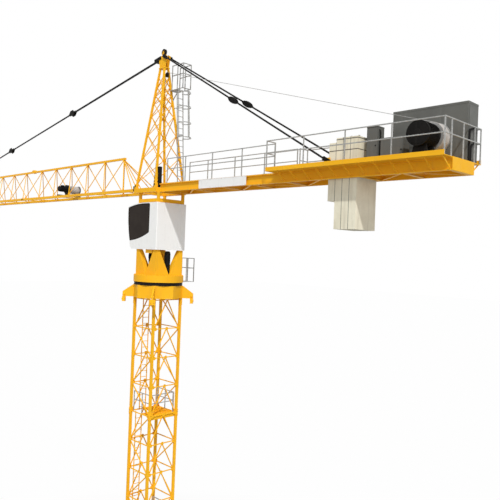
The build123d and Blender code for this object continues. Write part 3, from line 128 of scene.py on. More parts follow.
class Finish(Nodes):
    """A material with a Principled shader, and the textures that feed it."""

    def __init__(self, name, roughness, metallic=0.0, specular=0.5):
        self.material = bpy.data.materials.new(name)
        self.material.use_nodes = True
        super().__init__(self.material.node_tree)
        self.shader = self.tree.nodes["Principled BSDF"]
        self.surface({"Roughness": roughness, "Metallic": metallic, "Specular IOR Level": specular})
        self.place = self.add("ShaderNodeTexCoord", "Object")

    def surface(self, inputs):
        self.feed(self.shader, inputs)

    def noise(self, scale, detail=4.0, stretch=None):
        place = self.place
        if stretch:
            place = self.add("ShaderNodeMapping", "Vector", {"Vector": place, "Scale": stretch})
        inputs = {"Vector": place, "Scale": scale, "Detail": detail, "Roughness": NOISE_ROUGHNESS}
        return self.add("ShaderNodeTexNoise", "Fac", inputs)

    def cells(self, scale, output):
        return self.add("ShaderNodeTexVoronoi", output, {"Vector": self.place, "Scale": scale})

    def span(self, value, low, high, to_low=0.0, to_high=1.0):
        """A value moved from one range to another."""
        inputs = {"Value": value, "From Min": low, "From Max": high, "To Min": to_low, "To Max": to_high}
        return self.add("ShaderNodeMapRange", "Result", inputs)

    def mix(self, amount, first, second):
        """A colour between two others, each of them three numbers or a socket."""
        pair = [c if isinstance(c, bpy.types.NodeSocket) else (*c, 1.0) for c in (first, second)]
        inputs = {"Factor": amount, COLOUR_A: pair[0], COLOUR_B: pair[1]}
        return self.add("ShaderNodeMix", COLOUR_RESULT, inputs, data_type="RGBA")

    def bump(self, height, strength, distance):
        inputs = {"Height": height, "Strength": strength, "Distance": distance}
        self.surface({"Normal": self.add("ShaderNodeBump", "Normal", inputs)})


def painted_steel(name, light, dark, dust, roughness, specular):
    """Sprayed paint on steel: uneven coats, rain streaks of dust and a faint orange peel."""
    paint = Finish(name, roughness, specular=specular)
    coat = paint.mix(paint.span(paint.noise(1.7), 0.35, 0.65), light, dark)
    streaks = paint.span(paint.noise(5.0, stretch=(3.0, 3.0, 0.35)), 0.55, 0.8, 0.0, 0.5)
    sheen = paint.span(paint.noise(9.0), 0.3, 0.7, roughness - 0.08, roughness + 0.1)
    paint.surface({"Base Color": paint.mix(streaks, coat, dust), "Roughness": sheen})
    paint.bump(paint.noise(160.0, detail=2.0), 0.06, 0.002)
    return paint.material


def cast_concrete():
    """Pale cast concrete with blotches, fine grain, water stains, and small dark dots for air holes whose
    darkness is painted shade.
    """
    stone = Finish("cast_concrete", 0.85)
    patches = stone.span(stone.noise(2.4, detail=6.0), 0.3, 0.7)
    blotches = stone.mix(patches, (0.74, 0.69, 0.53), (0.88, 0.845, 0.68))
    stains = stone.span(stone.noise(6.0, stretch=(2.0, 2.0, 0.25)), 0.52, 0.78, 0.0, 0.55)
    stained = stone.mix(stains, blotches, (0.52, 0.47, 0.35))
    # Dark dots at the cell centres stand for air holes: painted shade of pits that have no depth in the
    # mesh.
    air_hole_shade = stone.span(stone.cells(34.0, "Distance"), 0.05, 0.12, 1.0, 0.0)
    stone.surface({"Base Color": stone.mix(air_hole_shade, stained, (0.38, 0.35, 0.29))})
    stone.bump(stone.noise(70.0, detail=6.0), 0.35, 0.004)
    return stone.material


def zinc_coat():
    """Hot-dip zinc: pale grey with small crystal patches."""
    zinc = Finish("zinc_coat", 0.5, metallic=0.15, specular=0.25)
    patches = zinc.span(zinc.cells(55.0, "Color"), 0.2, 0.8)
    sheen = zinc.span(zinc.noise(20.0), 0.3, 0.7, 0.4, 0.6)
    colour = zinc.mix(patches, (0.31, 0.315, 0.305), (0.45, 0.45, 0.43))
    zinc.surface({"Base Color": colour, "Roughness": sheen})
    return zinc.material


def bright_steel():
    """Bare drum steel with fine turning marks and darker grease."""
    steel = Finish("bright_steel", 0.4, metallic=0.4, specular=0.3)
    grease = steel.span(steel.noise(7.0), 0.45, 0.75, 0.0, 0.6)
    marks = steel.span(steel.noise(60.0, stretch=(1.0, 9.0, 1.0)), 0.3, 0.7, 0.28, 0.5)
    colour = steel.mix(grease, (0.40, 0.40, 0.39), (0.22, 0.21, 0.20))
    steel.surface({"Base Color": colour, "Roughness": marks})
    return steel.material


def wire_rope():
    """Dull steel rope with darker grease between the wires."""
    rope = Finish("wire_rope", 0.65, specular=0.2)
    grease = rope.span(rope.noise(14.0), 0.45, 0.75, 0.0, 0.7)
    rope.surface({"Base Color": rope.mix(grease, (0.53, 0.50, 0.47), (0.36, 0.335, 0.31))})
    rope.bump(rope.noise(240.0, detail=2.0), 0.3, 0.002)
    return rope.material


def dark_glass():
    """Brown-black tinted pane with a clean shine and a little dust."""
    pane = Finish("dark_glass", 0.06, specular=0.06)
    dust = pane.span(pane.noise(3.0), 0.4, 0.8, 0.0, 0.6)
    sheen = pane.span(pane.noise(12.0), 0.4, 0.8, 0.05, 0.14)
    colour = pane.mix(dust, (0.025, 0.018, 0.014), (0.040, 0.031, 0.024))
    pane.surface({"Base Color": colour, "Roughness": sheen})
    return pane.material


YELLOW = painted_steel("crane_yellow", (0.95, 0.50, 0.020), (0.91, 0.455, 0.016),
                       (0.72, 0.39, 0.045), 0.45, 0.1)
BLACK = painted_steel("black_paint", (0.010, 0.0095, 0.009), (0.016, 0.015, 0.014),
                      (0.034, 0.031, 0.028), 0.45, 0.05)
WHITE = painted_steel("white_paint", (0.90, 0.90, 0.88), (0.885, 0.885, 0.865),
                      (0.78, 0.77, 0.74), 0.32, 0.3)
GREY = painted_steel("grey_paint", (0.140, 0.142, 0.130), (0.122, 0.123, 0.113),
                     (0.19, 0.187, 0.17), 0.5, 0.2)
RUBBER = painted_steel("seal_rubber", (0.010, 0.010, 0.010), (0.015, 0.014, 0.013),
                       (0.03, 0.028, 0.026), 0.7, 0.1)
JOINT_DARK = painted_steel("joint_steel", (0.10, 0.09, 0.075), (0.07, 0.065, 0.055),
                           (0.16, 0.12, 0.08), 0.7, 0.2)
CONCRETE = cast_concrete()
ZINC = zinc_coat()
STEEL = bright_steel()
ROPE = wire_rope()
GLASS = dark_glass()

SLOT_FINISH = {
    "crane_yellow": YELLOW, "black_paint": BLACK, "white_paint": WHITE, "grey_paint": GREY,
    "tinted_glass": GLASS, "concrete": CONCRETE, "galvanised_steel": ZINC, "bare_steel": STEEL,
}
for entry in frame["record"]["subparts"]:
    for slot in frame["nodes"][entry["node"]].material_slots:
        slot.material = SLOT_FINISH[entry["material_slot"]]


# Making of pieces

def placed(name, data):
    """Object of a mesh, lamp or camera, put into the scene."""
    holder = bpy.data.objects.new(name, data)
    bpy.context.scene.collection.objects.link(holder)
    return holder


def settled(holder, body):
    """A finished piece rides on its body."""
    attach(holder, body)


class Shape:
    """A mesh in the making, put together from closed solids."""

    def __init__(self):
        self.mesh = bmesh.new()

    def wall(self, low, high):
        """Closed strip of faces between two rings of the same length."""
        for k, start in enumerate(low):
            after = (k + 1) % len(low)
            self.mesh.faces.new((start, low[after], high[after], high[k]))

    def skin(self, rings, closed):
        """Walls from ring to ring, joined back to the first ring or capped at both ends."""
        for low, high in zip(rings, rings[1:]):
            self.wall(low, high)
        if closed:
            self.wall(rings[-1], rings[0])
        else:
            self.mesh.faces.new(rings[0][::-1])
            self.mesh.faces.new(rings[-1])

    def ring(self, centre, first, second, radius, sides):
        """Points evenly round a centre, in the plane of two directions."""
        points = []
        for k in range(sides):
            turn = 2 * math.pi * k / sides
            out = first * math.cos(turn) + second * math.sin(turn)
            points.append(self.mesh.verts.new(centre + out * radius))
        return points

    def prism(self, outline, lift):
        """Solid between a flat outline and the same outline moved by a vector."""
        low = [self.mesh.verts.new(point) for point in outline]
        high = [self.mesh.verts.new(Vector(point) + lift) for point in outline]
        self.mesh.faces.new(low[::-1])
        self.mesh.faces.new(high)
        self.wall(low, high)

    def box(self, low, high):
        x0, y0, z0 = low
        x1, y1, z1 = high
        self.prism([(x0, y0, z0), (x1, y0, z0), (x1, y1, z0), (x0, y1, z0)], Z_AXIS * (z1 - z0))

    def bar(self, start, end, wide, deep, side):
        """Rectangular bar; wide is measured along side."""
        start = Vector(start)
        run = Vector(end) - start
        across = side.cross(run).normalized() * deep / 2
        along = run.cross(across).normalized() * wide / 2
        self.prism([start - across - along, start + across - along,
                    start + across + along, start - across + along], run)

    def turned(self, centre, axis, profile, sides=24, hollow=False):
        """Solid turned about an axis; the profile gives the reach along the axis and the radius."""
        first = axis.orthogonal().normalized()
        second = axis.cross(first)
        rings = [self.ring(Vector(centre) + axis * reach, first, second, radius, sides)
                 for reach, radius in profile]
        self.skin(rings, hollow)

    def flat_ring(self, centre, axis, inner, outer, thick, sides=40):
        profile = ((0.0, inner), (0.0, outer), (thick, outer), (thick, inner))
        self.turned(centre, axis, profile, sides, hollow=True)

    def pipe(self, points, radius, sides=8, closed=False):
        """Round bar through points, mitred at the corners."""
        points = [Vector(p) for p in points]
        count = len(points)
        rings = []
        side = None
        for k, point in enumerate(points):
            before = points[k - 1] if k or closed else point
            after = points[(k + 1) % count] if k + 1 < count or closed else point
            along = (after - before).normalized()
            side = along.orthogonal() if side is None else side - along * side.dot(along)
            side.normalize()
            rings.append(self.ring(point, side, along.cross(side), radius, sides))
        self.skin(rings, closed)

    def piece(self, name, body, slot, finish=None, bevel=0.0):
        """Turn the solids into one finished piece."""
        bmesh.ops.recalc_face_normals(self.mesh, faces=self.mesh.faces)
        mesh = bpy.data.meshes.new(name)
        self.mesh.to_mesh(mesh)
        self.mesh.free()
        mesh.polygons.foreach_set("use_smooth", [True] * len(mesh.polygons))
        mesh.set_sharp_from_angle(angle=SHARP)
        mesh.materials.append(finish or SLOT_FINISH[slot])
        holder = placed(name, mesh)
        if bevel:
            edge = holder.modifiers.new("rounded_edges", "BEVEL")
            edge.width = bevel
            edge.segments = 2
            edge.limit_method = "ANGLE"
        settled(holder, body)


class Tree(Nodes):
    """A Geometry Nodes tree with named sizes; its result is kept as a plain mesh."""

    def __init__(self, name, **sizes):
        super().__init__(bpy.data.node_groups.new(name, "GeometryNodeTree"))
        faces = self.tree.interface
        faces.new_socket("Points", in_out="INPUT", socket_type="NodeSocketGeometry")
        for size, kind in sizes.items():
            faces.new_socket(size, in_out="INPUT", socket_type=kind)
        faces.new_socket("Finish", in_out="INPUT", socket_type="NodeSocketMaterial")
        faces.new_socket("Result", in_out="OUTPUT", socket_type="NodeSocketGeometry")
        self.start = self.tree.nodes.new("NodeGroupInput")
        self.end = self.tree.nodes.new("NodeGroupOutput")

    def size(self, name):
        return self.start.outputs[name]

    def times(self, size, factor):
        return self.add("ShaderNodeMath", "Value", {0: size, 1: factor}, operation="MULTIPLY")

    def vector(self, x=0.0, y=0.0, z=0.0):
        return self.add("ShaderNodeCombineXYZ", "Vector", {"X": x, "Y": y, "Z": z})

    def attribute(self, name):
        return self.add("GeometryNodeInputNamedAttribute", "Attribute", {"Name": name},
                        data_type="FLOAT_VECTOR")

    def turned_to(self, vector, axis):
        return self.add("FunctionNodeAlignRotationToVector", "Rotation", {"Vector": vector}, axis=axis)

    def moved(self, geometry, **places):
        return self.add("GeometryNodeTransform", "Geometry", {"Geometry": geometry, **places})

    def joined(self, *parts):
        node = self.tree.nodes.new("GeometryNodeJoinGeometry")
        for part in parts:
            self.feed(node, {"Geometry": part})
        return node.outputs["Geometry"]

    def copies(self, points, instance, **places):
        return self.add("GeometryNodeInstanceOnPoints", "Instances",
                        {"Points": points, "Instance": instance, **places})

    def close(self, geometry):
        """Realize the copies and give them their finish."""
        real = self.add("GeometryNodeRealizeInstances", "Geometry", {"Geometry": geometry})
        inputs = {"Geometry": real, "Material": self.size("Finish")}
        self.feed(self.end, {"Result": self.add("GeometryNodeSetMaterial", "Geometry", inputs)})
        return self

    def grow(self, name, body, slot, points, vectors=None, finish=None, **sizes):
        """Run the tree on points that carry named vectors, and keep the result as one piece."""
        source = bpy.data.meshes.new(name)
        source.from_pydata([tuple(p) for p in points], [], [])
        for label, rows in (vectors or {}).items():
            layer = source.attributes.new(label, "FLOAT_VECTOR", "POINT")
            layer.data.foreach_set("vector", [c for row in rows for c in row])
        holder = placed(name, source)
        modifier = holder.modifiers.new(name, "NODES")
        modifier.node_group = self.tree
        sizes["Finish"] = finish or SLOT_FINISH[slot]
        for item in self.tree.interface.items_tree:
            if item.in_out == "INPUT" and item.name in sizes:
                modifier[item.identifier] = sizes[item.name]
        solid = holder.evaluated_get(bpy.context.evaluated_depsgraph_get())
        mesh = bpy.data.meshes.new_from_object(solid)
        holder.modifiers.remove(modifier)
        holder.data = mesh
        bpy.data.meshes.remove(source)
        mesh.set_sharp_from_angle(angle=SHARP)
        settled(holder, body)


LENGTH = "NodeSocketFloat"
COUNT = "NodeSocketInt"


def bolt_tree():
    """Hexagon heads on washers, one on every point, standing along its vector."""
    tree = Tree("bolt_heads", Radius=LENGTH, Height=LENGTH)
    radius = tree.size("Radius")
    height = tree.size("Height")
    half = tree.times(height, 0.5)
    inner = tree.times(radius, HEXAGON_SHARE)
    washer = tree.add("GeometryNodeMeshCylinder", "Mesh", {"Vertices": 12, "Radius": radius, "Depth": half})
    head = tree.add("GeometryNodeMeshCylinder", "Mesh", {"Vertices": 6, "Radius": inner, "Depth": height})
    lifted = tree.moved(head, Translation=tree.vector(z=half))
    turn = tree.turned_to(tree.attribute("facing"), "Z")
    return tree.close(tree.copies(tree.size("Points"), tree.joined(washer, lifted), Rotation=turn))


def gusset_tree():
    """Flat plates with clipped corners, lying square to the vector of their point."""
    tree = Tree("gusset_plates", Radius=LENGTH, Thickness=LENGTH)
    plate = tree.add("GeometryNodeMeshCylinder", "Mesh",
                     {"Vertices": 8, "Radius": tree.size("Radius"), "Depth": tree.size("Thickness")})
    turn = tree.turned_to(tree.attribute("facing"), "Z")
    return tree.close(tree.copies(tree.size("Points"), plate, Rotation=turn))


def slat_tree():
    """Straight flat bars, one on every point, each as long, wide and deep as its vector says."""
    tree = Tree("flat_bars")
    slat = tree.add("GeometryNodeMeshCube", "Mesh", {"Size": (1.0, 1.0, 1.0)})
    return tree.close(tree.copies(tree.size("Points"), slat, Scale=tree.attribute("size")))


def winding_tree():
    """One layer of rope round a drum that lies along Y."""
    tree = Tree("rope_winding", Radius=LENGTH, Rope=LENGTH, Turns=LENGTH, Length=LENGTH)
    radius = tree.size("Radius")
    path = tree.add("GeometryNodeCurveSpiral", "Curve",
                    {"Resolution": 28, "Rotations": tree.size("Turns"), "Start Radius": radius,
                     "End Radius": radius, "Height": tree.size("Length")})
    section = tree.add("GeometryNodeCurvePrimitiveCircle", "Curve",
                       {"Resolution": 6, "Radius": tree.size("Rope")})
    rope = tree.add("GeometryNodeCurveToMesh", "Mesh",
                    {"Curve": path, "Profile Curve": section, "Fill Caps": True})
    lying = tree.moved(rope, Rotation=(-math.pi / 2, 0.0, 0.0))
    return tree.close(tree.copies(tree.size("Points"), lying))


def fin_tree():
    """Cooling fins round a motor, standing out from its axis; the axis follows the vector of the point."""
    tree = Tree("cooling_fins", Radius=LENGTH, Depth=LENGTH, Thickness=LENGTH, Length=LENGTH, Fins=COUNT)
    ring = tree.add("GeometryNodeMeshCircle", "Mesh",
                    {"Vertices": tree.size("Fins"), "Radius": tree.size("Radius")})
    size = tree.vector(tree.size("Depth"), tree.size("Thickness"), tree.size("Length"))
    fin = tree.add("GeometryNodeMeshCube", "Mesh", {"Size": size})
    out = tree.turned_to(tree.add("GeometryNodeInputPosition", "Position"), "X")
    turn = tree.turned_to(tree.attribute("facing"), "Z")
    return tree.close(tree.copies(tree.size("Points"), tree.copies(ring, fin, Rotation=out), Rotation=turn))


BOLTS = bolt_tree()
GUSSETS = gusset_tree()
SLATS = slat_tree()
WINDING = winding_tree()
FINS = fin_tree()


class Slats:
    """Rows of flat bars, gathered for one piece."""

    def __init__(self):
        self.points = []
        self.sizes = []

    def box(self, low, high):
        self.points.append([(a + b) / 2 for a, b in zip(low, high)])
        self.sizes.append([b - a for a, b in zip(low, high)])

    def row(self, low, high, axis, pitch, thick, gap=(0.0, 0.0)):
        """Bars of a thickness across a box, at a pitch along one axis, left out inside a gap."""
        for k in range(int((high[axis] - low[axis]) / pitch)):
            middle = low[axis] + (k + 0.5) * pitch
            if gap[0] < middle < gap[1]:
                continue
            start = list(low)
            end = list(high)
            start[axis] = middle - thick / 2
            end[axis] = middle + thick / 2
            self.box(start, end)

    def piece(self, name, body, slot):
        SLATS.grow(name, body, slot, self.points, {"size": self.sizes})


class Marks:
    """Points with a direction, gathered for bolts or plates."""

    def __init__(self):
        self.points = []
        self.facing = []

    def add(self, point, facing):
        self.points.append(tuple(point))
        self.facing.append(tuple(facing))

    def bolts(self, name, body, slot, radius, height):
        BOLTS.grow(name, body, slot, self.points, {"facing": self.facing}, Radius=radius, Height=height)

    def plates(self, name, body, slot, radius, thickness):
        GUSSETS.grow(name, body, slot, self.points, {"facing": self.facing},
                     Radius=radius, Thickness=thickness)


# Places repeated from the part
MAST_HALF = 0.400
MAST_LEG = 0.058
MAST_BRACE = 0.022
MAST_BAYS = 12
MAST_BAY = 0.706
FIRST_NODE = 0.135
REST_NODES = (4, 8)
REST_HATCHES = ((-0.120, 4), (-0.220, 8))
SLEEVE_FACE = 0.435
ANCHOR = 0.495
ARM_REACH = 0.848
HEAD_FEET = (-0.481, 0.328)
HEAD_FOOT_HALF = 0.440
HEAD_TOPS = (-0.185, -0.015)
HEAD_TOP_HALF = 0.058
HEAD_SHARES = (0.061, 0.26, 0.445, 0.602, 0.706, 0.772, 0.8435, 0.924)
JIB_HALF = 0.335
JIB_FIRST = -1.2675
JIB_BAY = 0.955
JIB_SECTION = 5.915
JIB_SECTION_BAYS = (6, 6, 2)
CROSSBEAMS = (0.700, 1.640, 2.580, 3.520, 4.460, 5.350, 6.200, 7.050, 7.880)
BALLAST_OPENING = (5.40, 6.15)
SLAB = 0.1575
CORNERS = ((1, 1), (-1, 1), (-1, -1), (1, -1))


def mast_level(node):
    """Height of a row of mast nodes, counted from the lowest."""
    return FIRST_NODE + node * MAST_BAY


def spokes(count):
    """Level directions evenly round a circle."""
    turns = [2 * math.pi * k / count for k in range(count)]
    return [Vector((math.cos(turn), math.sin(turn), 0)) for turn in turns]


# Mast

def mast_gussets():
    """Node plates of the four mast sides."""
    plates = Marks()
    thick = 0.008
    out = MAST_HALF + MAST_BRACE / 2 + thick / 2
    leg = MAST_HALF - MAST_LEG / 2 - 0.030
    for node in range(MAST_BAYS):
        z = mast_level(node)
        lean = 1 if (MAST_BAYS - node + 1) % 2 else -1
        plates.add((lean * leg, -out, z), -Y_AXIS)
        plates.add((-lean * leg, out, z), Y_AXIS)
        for side in (1, -1):
            for y in (-leg, leg):
                plates.add((side * out, y, z), X_AXIS * side)
            if node:
                plates.add((side * out, 0, z), X_AXIS * side)
    plates.plates("mast_gussets", "mast", "crane_yellow", 0.044, thick)


def mast_joint_bolts():
    """Bolts on both outer faces of the sleeves that join the mast legs."""
    bolts = Marks()
    for node in REST_NODES:
        for i, j in CORNERS:
            for lift in (-0.05, 0.05):
                z = mast_level(node) + lift
                bolts.add((i * SLEEVE_FACE, j * MAST_HALF, z), X_AXIS * i)
                bolts.add((i * MAST_HALF, j * SLEEVE_FACE, z), Y_AXIS * j)
    bolts.bolts("mast_joint_bolts", "mast", "crane_yellow", 0.020, 0.018)


def rest_gratings():
    """Bearing bars on the two rest platforms, left open over the hatches."""
    bars = Slats()
    edge = 0.355
    hatch_end = 0.03
    hatch_half = 0.170
    for y, node in REST_HATCHES:
        low = mast_level(node) + 0.005
        fields = [((hatch_end, -edge), (edge, edge)), ((-edge, y + hatch_half), (hatch_end, edge))]
        if y - hatch_half > -edge:
            fields.append(((-edge, -edge), (hatch_end, y - hatch_half)))
        for start, end in fields:
            bars.row((*start, low), (*end, low + 0.012), 0, 0.028, BEARING_BAR)
    bars.piece("rest_gratings", "mast", "crane_yellow")


def foot_anchors():
    """Anchor studs with their nuts on the foot pads."""
    nuts = Marks()
    studs = Shape()
    for i, j in CORNERS:
        at = Vector((i * ANCHOR, j * ANCHOR, 0.060))
        nuts.add(at, Z_AXIS)
        studs.turned(at, Z_AXIS, ((0.0, 0.014), (0.062, 0.014), (0.068, 0.010)), 12)
    nuts.bolts("foot_anchor_nuts", "mast", "bare_steel", 0.036, 0.034)
    studs.piece("foot_anchor_studs", "mast", "bare_steel")


def collar_fittings():
    """Pin bosses and bolts on the four arms of the slewing support."""
    level = node_box("slewing_support")[0].z + 0.123
    profile = ((-0.036, 0.030), (-0.032, 0.036), (0.032, 0.036), (0.036, 0.030))
    bosses = Shape()
    bolts = Marks()
    for i, j in CORNERS:
        out = Vector((i, j, 0)).normalized()
        aside = Z_AXIS.cross(out)
        bosses.turned(out * ARM_REACH + Z_AXIS * (level + 0.062), aside, profile)
        for shift in (-0.042, 0.042):
            bolts.add(out * 0.885 + aside * shift + Z_AXIS * (level - 0.060), out)
    bosses.piece("arm_bosses", "mast", "crane_yellow")
    bolts.bolts("arm_bolts", "mast", "crane_yellow", 0.018, 0.016)


def ring_bolts():
    """Bolts round both halves of the slewing ring, and on the rim of the turntable."""
    for name, body in (("slewing_ring_lower", "mast"), ("slewing_ring_upper", "upper")):
        low, high = node_box(name)
        marks = Marks()
        for out in spokes(36):
            marks.add(out * (high.x - 0.001) + Z_AXIS * (low.z + high.z) / 2, out)
        marks.bolts(name + "_bolts", body, "black_paint", 0.011, 0.010)
    top = node_box("turntable")[1].z
    crown_half = 0.435
    rim = Marks()
    for out in spokes(48):
        at = out * 0.588
        if max(abs(at.x), abs(at.y)) > crown_half:
            rim.add((at.x, at.y, top), Z_AXIS)
    rim.bolts("turntable_bolts", "upper", "crane_yellow", 0.015, 0.014)


# Turntable and cab

def slewing_motor_covers():
    """Cooling fins and fan hood of each slewing motor."""
    top = node_box("slewing_drives")[1].z
    hoods = Shape()
    marks = Marks()
    profile = ((0.0, 0.066), (0.018, 0.064), (0.032, 0.052), (0.038, 0.030))
    for x in (0.330, -0.330):
        marks.add((x, 0, top - 0.140), Z_AXIS)
        hoods.turned((x, 0, top), Z_AXIS, profile, 28)
        hoods.box((x - 0.030, -0.078, top - 0.16), (x + 0.030, -0.060, top - 0.06))
    FINS.grow("slewing_motor_fins", "upper", "black_paint", marks.points, {"facing": marks.facing},
              Radius=0.0715, Depth=0.005, Thickness=0.004, Length=0.230, Fins=24)
    hoods.piece("slewing_motor_hoods", "upper", "black_paint", bevel=0.003)


def cab_terminal_box():
    """Terminal box that hangs under the cab floor, with its lid and screws."""
    top = node_box("cab_floor")[0].z
    face = -0.405
    lid = face - 0.006
    case = Shape()
    case.box((-0.030, face, top - 0.090), (0.235, -0.320, top))
    case.box((-0.022, lid, top - 0.082), (0.227, face, top - 0.010))
    case.piece("cab_terminal_box", "upper", "crane_yellow", bevel=0.002)
    screws = Marks()
    for x in (-0.010, 0.215):
        for drop in (0.020, 0.072):
            screws.add((x, lid, top - drop), -Y_AXIS)
    screws.bolts("cab_terminal_screws", "upper", "bare_steel", 0.006, 0.005)


def pane_outline(node, facing, level):
    """Corner points round the panes of a node that face one way and lie at a level, one loop a pane."""
    source = bmesh.new()
    source.from_mesh(frame["nodes"][node].data)
    bmesh.ops.remove_doubles(source, verts=source.verts, dist=1e-5)
    source.normal_update()
    flat = {f for f in source.faces
            if f.normal.dot(facing) > 0.99 and abs(f.calc_center_median().dot(facing) - level) < 0.004}
    rim = {}
    for face in flat:
        for edge in face.edges:
            if sum(f in flat for f in edge.link_faces) == 1:
                for a, b in (edge.verts, reversed(edge.verts)):
                    rim.setdefault(a, []).append(b)
    loops = []
    left = set(rim)
    while left:
        start = min(left, key=lambda v: v.index)
        loop = [start]
        left.discard(start)
        while True:
            after = [v for v in rim[loop[-1]] if v in left]
            if not after:
                break
            loop.append(after[0])
            left.discard(after[0])
        loops.append([v.co.copy() for v in loop])
    source.free()
    return loops


def window_gaskets():
    """Rubber seals round the side windows of the cab."""
    level = node_box("cab_side_walls")[1].y - 0.0085
    seals = Shape()
    for facing in (-Y_AXIS, Y_AXIS):
        for loop in pane_outline("cab_glass", facing, level):
            seals.pipe([p + facing * 0.006 for p in loop], 0.007, 6, closed=True)
    seals.piece("window_gaskets", "upper", "black_paint", RUBBER)


def cab_door_fittings():
    """Handle, hinges and grab rail of the cab door."""
    low, high = node_box("cab_door")
    y = high.y
    steel = Shape()
    for z in (low.z + 0.16, high.z - 0.16):
        steel.turned((low.x, y + 0.006, z - 0.045), Z_AXIS, ((0.0, 0.010), (0.090, 0.010)), 14)
        steel.box((low.x - 0.030, y, z - 0.035), (low.x + 0.030, y + 0.005, z + 0.035))
    middle = (low.z + high.z) / 2
    steel.box((high.x - 0.055, y, middle - 0.030), (high.x - 0.020, y + 0.006, middle + 0.030))
    lever = middle + 0.016
    shank = high.x - 0.038
    steel.pipe([(shank, y, lever), (shank, y + 0.026, lever), (high.x - 0.120, y + 0.026, lever)], 0.006)
    grab = high.x + 0.060
    steel.pipe([(grab, y, low.z + 0.25), (grab, y + 0.040, low.z + 0.27), (grab, y + 0.040, high.z - 0.22),
                (grab, y, high.z - 0.20)], 0.009)
    steel.piece("cab_door_fittings", "upper", "galvanised_steel", bevel=0.002)


def cab_rear_panels():
    """Thin upright ribs and the service panel on the rear wall of the cab."""
    low, high = node_box("cab_side_walls")
    ribs = Shape()
    for y in (0.10, 0.20, 0.30):
        ribs.box((high.x, y - 0.006, low.z + 0.06), (high.x + 0.004, y + 0.006, high.z - 0.07))
    ribs.box((high.x, 0.355, low.z + 0.03), (high.x + 0.005, 0.425, high.z - 0.05))
    ribs.piece("cab_rear_ribs", "upper", "white_paint", bevel=0.0015)


# Head

def head_point(i, j, share):
    """Point on the axis of one head leg."""
    low, high = node_box("head_legs")
    end = 1 if i > 0 else 0
    x = HEAD_FEET[end] + (HEAD_TOPS[end] - HEAD_FEET[end]) * share
    y = j * (HEAD_FOOT_HALF + (HEAD_TOP_HALF - HEAD_FOOT_HALF) * share)
    return Vector((x, y, low.z + (high.z - low.z) * share))


def head_gussets():
    """Node plates of the head bracing, smaller inset on the narrow upper part."""
    plates = Marks()
    out = 0.011
    for share in HEAD_SHARES[:-1]:
        inset = 0.040 if share < 0.7 else 0.030
        for i, j in CORNERS:
            at = head_point(i, j, share)
            plates.add(at + Vector((-i * inset, j * out, 0)), Y_AXIS * j)
            plates.add(at + Vector((i * out, -j * inset, 0)), X_AXIS * i)
    plates.plates("head_gussets", "upper", "crane_yellow", 0.026, 0.006)


def head_feet():
    """Shoes of the head legs on the base frame, with their pins."""
    low = node_box("head_legs")[0].z
    long_half = 0.043
    wide_half = 0.036
    shoes = Shape()
    pins = Marks()
    for i, j in CORNERS:
        x, y = head_point(i, j, 0.012).xy
        shoes.box((x - long_half, y - wide_half, low), (x + long_half, y + wide_half, low + 0.115))
        for side in (-1, 1):
            pins.add((x, y + side * wide_half, low + 0.070), Y_AXIS * side)
    shoes.piece("head_shoes", "upper", "crane_yellow", bevel=0.005)
    pins.bolts("head_shoe_pins", "upper", "black_paint", 0.022, 0.014)


def head_equipment():
    """Slim control pillar on the rear beam of the base frame, and the cable pole by the near leg."""
    floor = node_box("head_base")[1].z
    face = -0.372
    black = Shape()
    black.box((0.288, face, floor), (0.368, -0.292, floor + 0.500))
    for bottom, top in ((0.10, 0.24), (0.26, 0.48)):
        black.box((0.292, face - 0.004, floor + bottom), (0.364, face, floor + top))
    black.box((0.280, -0.380, floor), (0.372, -0.284, floor + 0.012))
    pole = ((0.236, -0.436, 0.0), (0.244, -0.424, 0.10), (0.252, -0.402, 0.30))
    black.pipe([(x, y, floor + lift) for x, y, lift in pole], 0.013, 10)
    black.piece("head_pillar", "upper", "black_paint", bevel=0.003)


def jib_root_pins():
    """Black pin keepers where the bottom chords meet the base frame."""
    top = node_box("jib_bottom_chords")[1].z
    black = Shape()
    pin = ((0.0, 0.020), (0.095, 0.020), (0.100, 0.014))
    for side in (-1, 1):
        y = side * JIB_HALF
        black.box((-0.725, y - 0.034, top), (-0.650, y + 0.034, top + 0.070))
        black.turned((-0.688, y - side * 0.040, top - 0.030), Y_AXIS * side, pin, 16)
    black.piece("jib_root_keepers", "upper", "black_paint", bevel=0.002)


def grating(name, start, end, floor, axis, pitch, gap=(0.0, 0.0)):
    """Bearing bars on a floor of the upper works, left out inside a gap."""
    bars = Slats()
    bars.row((*start, floor), (*end, floor + 0.010), axis, pitch, BEARING_BAR, gap)
    bars.piece(name, "upper", "galvanised_steel")


def upper_gratings():
    """Gratings of the head platform, the walkway and both side decks."""
    platform = node_box("head_platform")[1].z - 0.612
    hatch = (0.340, 0.568)
    grating("head_platform_grating", (0.080, 0.080), (0.580, 0.300), platform, 0, 0.024, hatch)
    corner = node_box("counter_jib_floors")[1]
    floor = corner.z
    deck_start = 4.215
    deck_end = corner.x - 0.04
    inner = 0.385
    outer = 0.600
    grating("walkway_grating", (0.56, -0.300), (5.460, 0.300), floor, 0, 0.040)
    grating("near_deck_grating", (deck_start, -outer), (deck_end, -inner), floor, 1, 0.030)
    grating("far_deck_grating", (deck_start, inner), (deck_end, outer), floor, 1, 0.030)


# Jib

